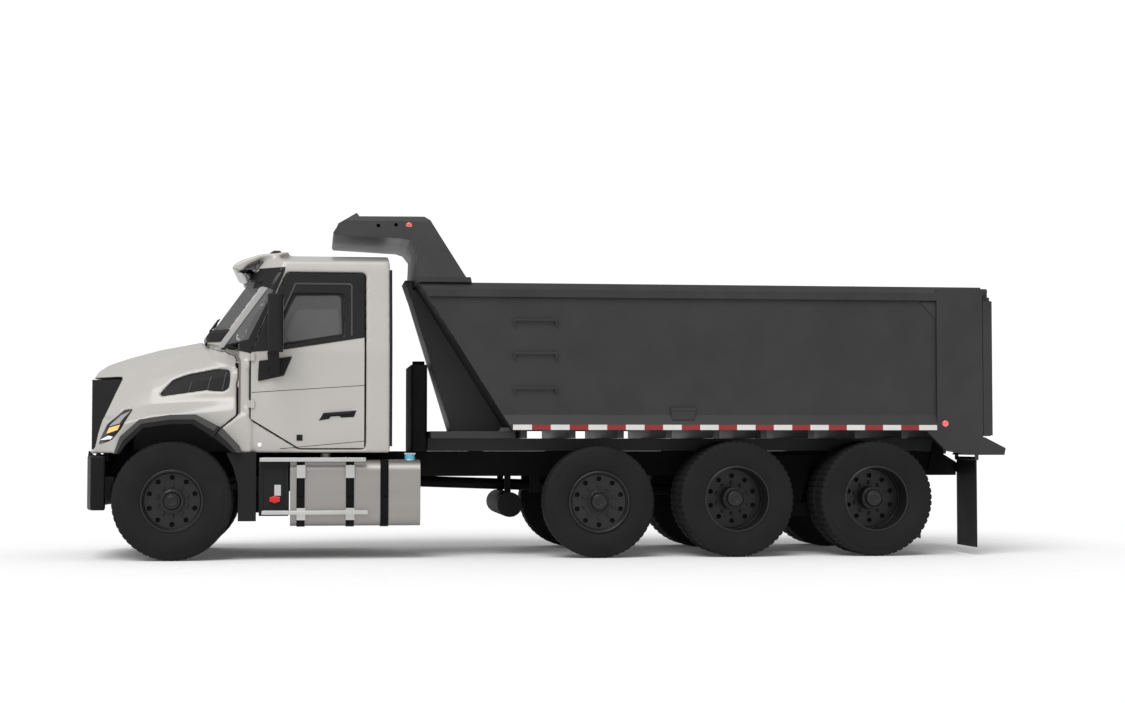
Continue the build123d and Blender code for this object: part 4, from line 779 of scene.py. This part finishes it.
def front_panel(name, heights, half):
    """Sheet laid on the cab's front between two heights."""
    face = solid_tree("cab_shell", "cab_glass")
    lines = []
    for i in range(FRONT_COLUMNS + 1):
        y = -half + 2 * half * i / FRONT_COLUMNS
        line = []
        for share in SHARES:
            z = heights[0] + (heights[1] - heights[0]) * share
            hit = face.ray_cast(Vector((station(AHEAD), y, z)), Vector((1, 0, 0)))[0]
            line.append((hit.x - steer_x - FRONT_PROUD, y, z))
        lines.append(line)
    points, faces = strip_form(lines, 1, FRONT_SHEET)
    piece(name, points, faces, "gloss_black", "chassis", slot="black_plastic")


for name, heights, half in front_table:
    front_panel(name, heights, half)


# Dark panels that paint the shade behind the grille and in the gap between bumper and hood
GRILLE_BACK = (-0.030, -0.020)  # from the grille's rear
GRILLE_MARGINS = (0.10, 0.04, 0.06)  # at the sides, the foot and the top
CHIN_SHADE = ((-0.720, -0.610), (-0.80, 0.80), (0.925, 0.983))


def shade_backs():
    low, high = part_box("grille")
    side, foot, top = GRILLE_MARGINS
    backs = Shapes()
    backs.add([(high.x + back, y, z) for back in GRILLE_BACK for y in (low.y + side, high.y - side)
               for z in (low.z + foot, high.z - top)], BOX_FACES)
    backs.make("grille_back_shade", "dark_and_shade", "hood", bevel=0.001)
    # Painted shade in the gap over the bumper
    chin_shade = Shapes()
    chin_shade.box(*CHIN_SHADE)
    chin_shade.make("chin_shade", "dark_and_shade", "chassis", bevel=0.003)


shade_backs()


# Both sides of cab, hood and body
def cab_skins(side):
    """Skins on the cab, the door and the hood."""
    door = f"door_{side}"
    plane = door_face(side)
    cab = ["cab_shell", "cab_glass"]
    skin("window_band", [BAND, WINDOW], side, [door], "gloss_black", door, proud=0.005, sink=0.012,
         face=plane)
    skin("window_frame", [WINDOW_FRAME], side, [door], "plastic_and_sheen", door, proud=0.010, sink=0.001,
         face=plane)
    skin("window_seal", [WINDOW, shrunk(WINDOW, SEAL_COVER)], side, [f"window_{side}"], "plastic", door,
         proud=0.004)
    # Painted shade along the door's creases
    for number, crease in enumerate(DOOR_CREASE_SHADES):
        skin(f"door_crease_{number}", [crease], side, [door], "dark_and_shade", door, proud=0.0012, face=plane)
    skin("pillar_cover", [PILLAR], side, cab, "gloss_black", "chassis", proud=0.006, sink=0.012, cell=0.03)
    skin("quarter_pane", [QUARTER_PANE], side, cab, "dull_pane", "chassis", proud=0.004, sink=0.012,
         cell=0.03)
    skin("pillar_strip", [PILLAR_STRIP], side, cab, "strip", "chassis", proud=0.014, sink=0.012, cell=0.03,
         bevel=0.004)
    skin("visor_shade", [VISOR_SHADE], side, ["cab_shell"], "gloss_black", "chassis", proud=0.004, cell=0.03)
    skin("seam_seal", [SEAM_SEAL], side, ["cab_shell", mouldings["hood"]], "rubber_seal", "chassis",
         proud=0.004, cell=0.03)
    skin("handle_cup", [HANDLE_CUP], side, [door], "plastic", door, proud=0.004)
    skin("handle_bar", [HANDLE_BAR], side, [door], "gloss_black", door, proud=0.022, sink=-0.006, bevel=0.004)
    skin("lamp_white", [LAMP_WHITE], side, ["headlamps"], "white_lamp", "hood", proud=0.004, cell=0.02)
    skin("lamp_amber", [LAMP_AMBER], side, ["headlamps"], "amber", "hood", proud=0.004, cell=0.02)
    skin("lamp_streak", [LAMP_STREAK], side, ["headlamps"], "bright", "hood", proud=0.003, cell=0.02)
    skin("door_socket", [DOOR_SOCKET], side, [door, "cab_shell"], "plastic", door, proud=0.004)
    skin("fender_marker", [disc(*MARKER_AT, MARKER_RADIUS)], side, ["cab_shell", door], "white_lamp",
         "chassis", proud=0.006)
    for number, bar in enumerate(VENT_BARS):
        skin(f"vent_bar_{number}", [bar], side, ["hood_vents"], "plastic_and_sheen", "hood", proud=0.006,
             cell=0.03)


# The flares' lighter crowns are a painted sheen where their upper bands catch the light
FLARE_FACE = 1.2185
CROWN_THICK = 0.004
JOINT_THICK = 0.005
CROWN_REACH = 0.52  # share of the flare's lip that the crown covers


def flare_trim(side):
    """Lighter crowns over the flare's lips, a painted sheen where their upper bands catch the light, and a dark
    joint where the hood's flare ends.
    """
    out = SIDES[side]
    for name, outer, inner, body in (("flare_crown_sheen", FLARE_OUTER, FLARE_INNER, "hood"),
                                     ("tail_crown_sheen", TAIL_OUTER, TAIL_INNER, "chassis")):
        crown = Shapes()
        crown.plate(outer + between(outer, inner, CROWN_REACH)[::-1], out * FLARE_FACE,
                    out * (FLARE_FACE + CROWN_THICK))
        crown.make(f"{name}_{side}", "plastic_and_sheen", body, bevel=0.0015)
    joint = Shapes()
    joint.plate(FLARE_JOINT, out * FLARE_FACE, out * (FLARE_FACE + JOINT_THICK))
    joint.make(f"flare_joint_{side}", "gloss_black", "hood", bevel=0.001)


CAB_REAR = (2.0165, 2.038)
SEAL_WIDTH = 0.058
SEAL_LINE = [(1.088, 1.06), (1.088, 2.02), (0.968, 2.74)]  # foot, belt and top, each (y, z)


def cab_seal(side):
    """Black seal down the cab's rear edge, upright below the belt and leaning in above it."""
    out = SIDES[side]
    foot, belt, top = SEAL_LINE
    seal = Shapes()
    seal.side_box(out, CAB_REAR, (foot[0] - SEAL_WIDTH, foot[0]), (foot[1], belt[1]))
    seal.add([(station(x), out * (y - shift), z) for x in CAB_REAR for y, z in (belt, top)
              for shift in (0, SEAL_WIDTH)], BOX_FACES)
    seal.make(f"cab_seal_{side}", "gloss_black", "chassis", bevel=0.002)


GUARD_LAMP_AT = (2.208, 3.193)
REAR_LAMP_AT = (7.388, 1.279)
REAR_LAMP_Y = 1.219
GUARD_LAMP_SIZE = (0.012, 0.033)  # rise and radius
REAR_LAMP_SIZE = (0.013, 0.034)
LAMP_SUNK = 0.002  # depth of the guard lamp's foot in the guard
LAMP_CORE = 0.004
LAMP_SLOPE = (0.002, 0.006)


def side_lamp(name, side, place, y, rise, radius):
    """Round red lamp at a (place, z) on a side face, from y outwards."""
    at, z = place
    drop, flank = LAMP_SLOPE
    lamp = Shapes()
    lamp.turned((station(at), 0, z), SIDES[side],
                [(y, LAMP_CORE), (y + rise, LAMP_CORE), (y + rise - drop, radius - flank), (y, radius)], 32)
    lamp.make(f"{name}_{side}", "marker_red", "bed", smooth=True)


def guard_lamp(side):
    """Marker lamp on the cab guard's side."""
    out = SIDES[side]
    start = Vector((station(GUARD_LAMP_AT[0]), out * SIDE_VIEW_Y, GUARD_LAMP_AT[1]))
    spot = solid_tree("cab_guard").ray_cast(start, Vector((0, -out, 0)))[0]
    side_lamp("guard_lamp", side, GUARD_LAMP_AT, abs(spot.y) - LAMP_SUNK, *GUARD_LAMP_SIZE)


MIRROR_BACK = (1.018, 1.0195)
MIRROR_Y = (1.235, 1.405)
MIRROR_PANES = [(2.135, 2.440), (1.965, 2.105)]
# Cover over the mirror's arm, from the mirror down to the door. Columns: z, (x, x), (y, y)
ARM_ENDS = [(1.940, (0.868, 0.980), (1.240, 1.300)), (1.720, (0.890, 0.985), (1.115, 1.165))]


def mirror_trim(side):
    """The mirror's two glasses, which face back, and the cover of its arm."""
    out = SIDES[side]
    door = f"door_{side}"
    panes = Shapes()
    for heights in MIRROR_PANES:
        panes.side_box(out, MIRROR_BACK, MIRROR_Y, heights)
    panes.make(f"mirror_glass_{side}", "mirror", door, bevel=0.004)
    cover = Shapes()
    cover.add([(station(x), out * y, z) for z, xs, ys in ARM_ENDS for x in xs for y in ys], BOX_FACES)
    cover.make(f"mirror_arm_{side}", "plastic", door, bevel=0.012)


LATCH = [(4.700, 1.311), (4.912, 1.311), (4.927, 1.400), (4.685, 1.400)]
LATCH_Y = (1.170, 1.212)
LATCH_LID = ((4.685, 4.927), (1.168, 1.219), (1.398, 1.430))
RAIL_STRIP = ((4.852, 5.654), (1.184, 1.190), (2.455, 2.479))
GUSSET = [(7.145, 2.463), (7.309, 2.463), (7.309, 2.290)]
GUSSET_Y = (1.184, 1.196)


def body_trim(side):
    """Latch box with its lid, a strip under the rail, the rear gusset and the rear side lamp."""
    out = SIDES[side]
    trim = Shapes()
    trim.plate(LATCH, *[out * y for y in LATCH_Y])
    trim.side_box(out, *LATCH_LID)
    trim.side_box(out, *RAIL_STRIP)
    trim.plate(GUSSET, *[out * y for y in GUSSET_Y])
    trim.make(f"side_trim_{side}", "body", "bed", bevel=0.003, slot="body_paint")
    side_lamp("rear_side_lamp", side, REAR_LAMP_AT, REAR_LAMP_Y, *REAR_LAMP_SIZE)


# Tank and battery box, on the left only
STRAPS_AT = (1.187, 1.643)
STRAP_ENDS_Z = [(0.765, 0.885), (0.372, 0.484)]
STRAP_HALF = 0.041
STRAP_Y = (-1.1775, -1.1735)
STRAP_BOLTS = (-0.016, 0.016)
STRAP_BOLT_Y = (-1.176, -1.184)
STRAP_BOLT_RADIUS = 0.008
# Columns: front, rear, height of the middle
step_table = [(0.806, 1.786, 0.936), (0.826, 1.806, 0.443)]
STEP_Y = (-1.2115, -1.1575)
STEP_HALF = 0.0175  # of a cover's height
STEP_OVER = 0.002  # a cover's reach past its bar's ends
STEP_TEETH = 46
FIRST_TOOTH = 0.02
TOOTH_PITCH = 0.0209
TOOTH_LENGTH = 0.011
TOOTH_Y = (-1.205, -1.163)
TOOTH_RISE = (0.016, 0.0215)
CAP_SIDES = 40
# Round caps on the tank. Columns: place, y, foot, top, radius at the foot and at the top
FILLER_CAP = (2.208, -1.0, 0.935, 0.985, 0.050, 0.046)
FILLER_COLLAR = (2.208, -1.0, 0.918, 0.938, 0.060, 0.060)
GAUGE_CAP = (1.413, -0.9, 0.984, 1.000, 0.050, 0.044)
CAP_HANDLE = ((2.155, 2.261), (-1.008, -0.992), (0.984, 0.996))
SWITCH_PLATE = ((0.940, 1.000), (-1.134, -1.1295), (0.600, 0.700))
LEVER_BAR = ((0.896, 0.993), (-1.158, -1.129), (0.541, 0.590))
LEVER_HUB = (0.945, 0.565)  # (place, z)
LEVER_HUB_Y = (-1.155, -1.129)
LEVER_HUB_RADIUS = 0.036
BATTERY_LID = ((0.792, 1.073), (-1.133, -0.516), (0.875, 0.919))
RIBS_AT = (0.830, 1.024)
RIB_LENGTH = 0.012
RIB_Y = (-1.134, -1.129)
RIB_Z = (0.43, 0.86)


def strap_ends():
    straps = Shapes()
    for at in STRAPS_AT:
        for low, high in STRAP_ENDS_Z:
            middle = (low + high) / 2
            straps.box((at - STRAP_HALF, at + STRAP_HALF), STRAP_Y, (low, high))
            for x in STRAP_BOLTS:
                start, end = [(station(at + x), y, middle) for y in STRAP_BOLT_Y]
                straps.prism(start, end, STRAP_BOLT_RADIUS, HEXAGON)
    straps.make("strap_ends", "bright", "chassis", bevel=0.001)


def step_covers():
    """Bright covers over the step bars, with teeth along their tops."""
    bars = Shapes()
    for front, rear, z in step_table:
        bars.box((front - STEP_OVER, rear + STEP_OVER), STEP_Y, (z - STEP_HALF, z + STEP_HALF))
        for i in range(STEP_TEETH):
            at = front + FIRST_TOOTH + i * TOOTH_PITCH
            bars.box((at, at + TOOTH_LENGTH), TOOTH_Y, [z + rise for rise in TOOTH_RISE])
    bars.make("step_covers", "bright", "chassis", bevel=0.0015)


def add_cap(shapes, at, y, foot, top, radius, end_radius):
    start, end = [(station(at), y, z) for z in (foot, top)]
    shapes.prism(start, end, radius, CAP_SIDES, end_radius=end_radius)


def tank_caps():
    cap = Shapes()
    add_cap(cap, *FILLER_CAP)
    cap.make("second_cap", "cap_blue", "chassis", bevel=0.004)
    fittings = Shapes()
    fittings.box(*CAP_HANDLE)
    add_cap(fittings, *FILLER_COLLAR)
    add_cap(fittings, *GAUGE_CAP)
    fittings.make("cap_fittings", "bright", "chassis", bevel=0.002)


def battery_trim():
    """The battery box's switch plate and lever, its lid and two ribs."""
    plate = Shapes()
    plate.box(*SWITCH_PLATE)
    plate.make("battery_plate", "bright", "chassis", bevel=0.001)
    at, z = LEVER_HUB
    start, end = [(station(at), y, z) for y in LEVER_HUB_Y]
    lever = Shapes()
    lever.box(*LEVER_BAR)
    lever.prism(start, end, LEVER_HUB_RADIUS)
    lever.make("battery_lever", "lever_red", "chassis", bevel=0.006)
    ribs = Shapes()
    ribs.box(*BATTERY_LID)
    for at in RIBS_AT:
        ribs.box((at, at + RIB_LENGTH), RIB_Y, RIB_Z)
    ribs.make("battery_lid", "plastic", "chassis", bevel=0.005)


for side, out in SIDES.items():
    points, faces = strip_form(cab_shoulder, out, CAB_SHOULDER_SHEET)
    piece(f"cowl_side_{side}", points, faces, "cab", "chassis", smooth=True, slot="cab_paint")
    for part in (cab_skins, flare_trim, cab_seal, guard_lamp, mirror_trim, body_trim):
        part(side)
for part in (strap_ends, step_covers, tank_caps, battery_trim):
    part()

# Roof lamps along the visor's rear edge
ROOF_LAMPS_Y = (-0.62, -0.31, 0.0, 0.31, 0.62)
ROOF_LAMPS_AT = 0.93
LAMP_HALF = 0.045
ABOVE = 3.2  # rays down onto the roof start here
# Columns: place, height above the roof
LAMP_SIDE = [(0.865, -0.02), (0.880, 0.020), (0.915, 0.040), (0.975, 0.040), (1.005, -0.01)]
roof = solid_tree("cab_shell")
lamps = Shapes()
for y in ROOF_LAMPS_Y:
    top = roof.ray_cast(Vector((station(ROOF_LAMPS_AT), y, ABOVE)), Vector((0, 0, -1)))[0].z
    lamps.plate([(at, top + rise) for at, rise in LAMP_SIDE], y - LAMP_HALF, y + LAMP_HALF)
lamps.make("roof_lamps", "gloss_black", "chassis", bevel=0.010)

# Wipers at the windscreen's foot, each lying towards the left
# Columns: name, y of the arm's foot
wiper_table = [("wiper_left", -0.12), ("wiper_right", 0.42)]
WIPER_LENGTH = 0.62
WIPER_Z = 2.20
WIPER_RISE = 0.06
ARM_RADIUS = 0.008
BLADE_RADIUS = 0.006
PIVOT_RADIUS = 0.014
WIPER_OFF = Vector((-0.03, 0, 0))  # off the glass
WIPER_FOOT = Vector((-0.01, 0, -0.09))  # from the arm's near end to its pivot
BLADE_OFF = Vector((0.016, 0, 0.01))  # from the arm to the blade
screen = solid_tree("cab_glass")
for name, foot_y in wiper_table:
    arm = Shapes()
    places = []
    for share in (0.0, 0.5, 1.0):
        start = Vector((station(AHEAD), foot_y - WIPER_LENGTH * share, WIPER_Z + WIPER_RISE * share))
        places.append(screen.ray_cast(start, Vector((1, 0, 0)))[0] + WIPER_OFF)
    for a, b in zip(places, places[1:]):
        arm.prism(a, b, ARM_RADIUS, 12)
        arm.prism(a + BLADE_OFF, b + BLADE_OFF, BLADE_RADIUS, 8)
    arm.prism(places[0], places[0] + WIPER_FOOT, PIVOT_RADIUS, 16)
    arm.make(name, "plastic", "chassis", bevel=0.001)

# Inside of the body: worn steel sheets over the floor and the sides
LOAD_REAR = 7.764
LINER_FLOOR = ((3.205, LOAD_REAR), (-1.082, 1.082), (1.275, 1.2775))
LINER_SIDE = ((3.15, LOAD_REAR), (1.1425, 1.1452), (1.340, 2.460))
liner = Shapes()
liner.box(*LINER_FLOOR)
for out in SIDES.values():
    liner.side_box(out, *LINER_SIDE)
liner.make("load_liner", "wear", "bed")

# Camera and light
CAMERA_AT = (steer_x + 1.3054, -19.9392, 1.1097)
CAMERA_YAW = 7.112
CAMERA_PITCH = 2.334
SENSOR_WIDTH = 36
FOCAL_LENGTH = 63.67
camera = bpy.data.cameras.new("camera")
camera.sensor_width = SENSOR_WIDTH
camera.lens = FOCAL_LENGTH
eye = bpy.data.objects.new("camera", camera)
eye.matrix_world = (Matrix.Translation(CAMERA_AT) @ Matrix.Rotation(radians(-CAMERA_YAW), 4, "Z")
                    @ Matrix.Rotation(radians(90 + CAMERA_PITCH), 4, "X"))
bpy.context.collection.objects.link(eye)
bpy.context.scene.camera = eye

# The sky lights the truck softly and stays white behind it
SKY_LIGHT = 0.62
SKY_SEEN = 1.05
sky = bpy.data.worlds.new("studio")
sky.use_nodes = True
background = sky.node_tree.nodes["Background"]
background.inputs["Color"].default_value = (1, 1, 1, 1)
ray = sky.node_tree.nodes.new("ShaderNodeLightPath")
level = sky.node_tree.nodes.new("ShaderNodeMapRange")
level.inputs["To Min"].default_value = SKY_LIGHT
level.inputs["To Max"].default_value = SKY_SEEN
sky.node_tree.links.new(ray.outputs["Is Camera Ray"], level.inputs["Value"])
sky.node_tree.links.new(level.outputs["Result"], background.inputs["Strength"])
bpy.context.scene.world = sky
bpy.context.scene.view_settings.view_transform = "Standard"

# A wide soft light from high in front of the near side
SUN_FROM = Vector((-0.30, -0.62, 0.78))
SUN_POWER = 1.9
SUN_SPREAD = 40
sun_data = bpy.data.lights.new("key", "SUN")
sun_data.energy = SUN_POWER
sun_data.angle = radians(SUN_SPREAD)
sun = bpy.data.objects.new("key", sun_data)
sun.rotation_euler = (-SUN_FROM).to_track_quat("-Z", "Y").to_euler()
bpy.context.collection.objects.link(sun)

# Floor, pale enough to stay white where the light reaches it
FLOOR_REACH = 60
FLOOR_TONE = (0.92, 0.92, 0.92)
FLOOR_GLOW = 0.04
floor_corners = [(x * FLOOR_REACH, y * FLOOR_REACH, 0) for x, y in ((-1, -1), (1, -1), (1, 1), (-1, 1))]
floor_mesh = bpy.data.meshes.new("floor")
floor_mesh.from_pydata(floor_corners, [], [(0, 1, 2, 3)])
floor = bpy.data.objects.new("floor", floor_mesh)
bpy.context.collection.objects.link(floor)
pale = material("pale_floor", FLOOR_TONE, 0.9, blotch=0.01, specular=0.0)
pale_shader = pale.node_tree.nodes["Principled BSDF"]
pale_shader.inputs["Emission Color"].default_value = (1, 1, 1, 1)
pale_shader.inputs["Emission Strength"].default_value = FLOOR_GLOW
floor.data.materials.append(pale)
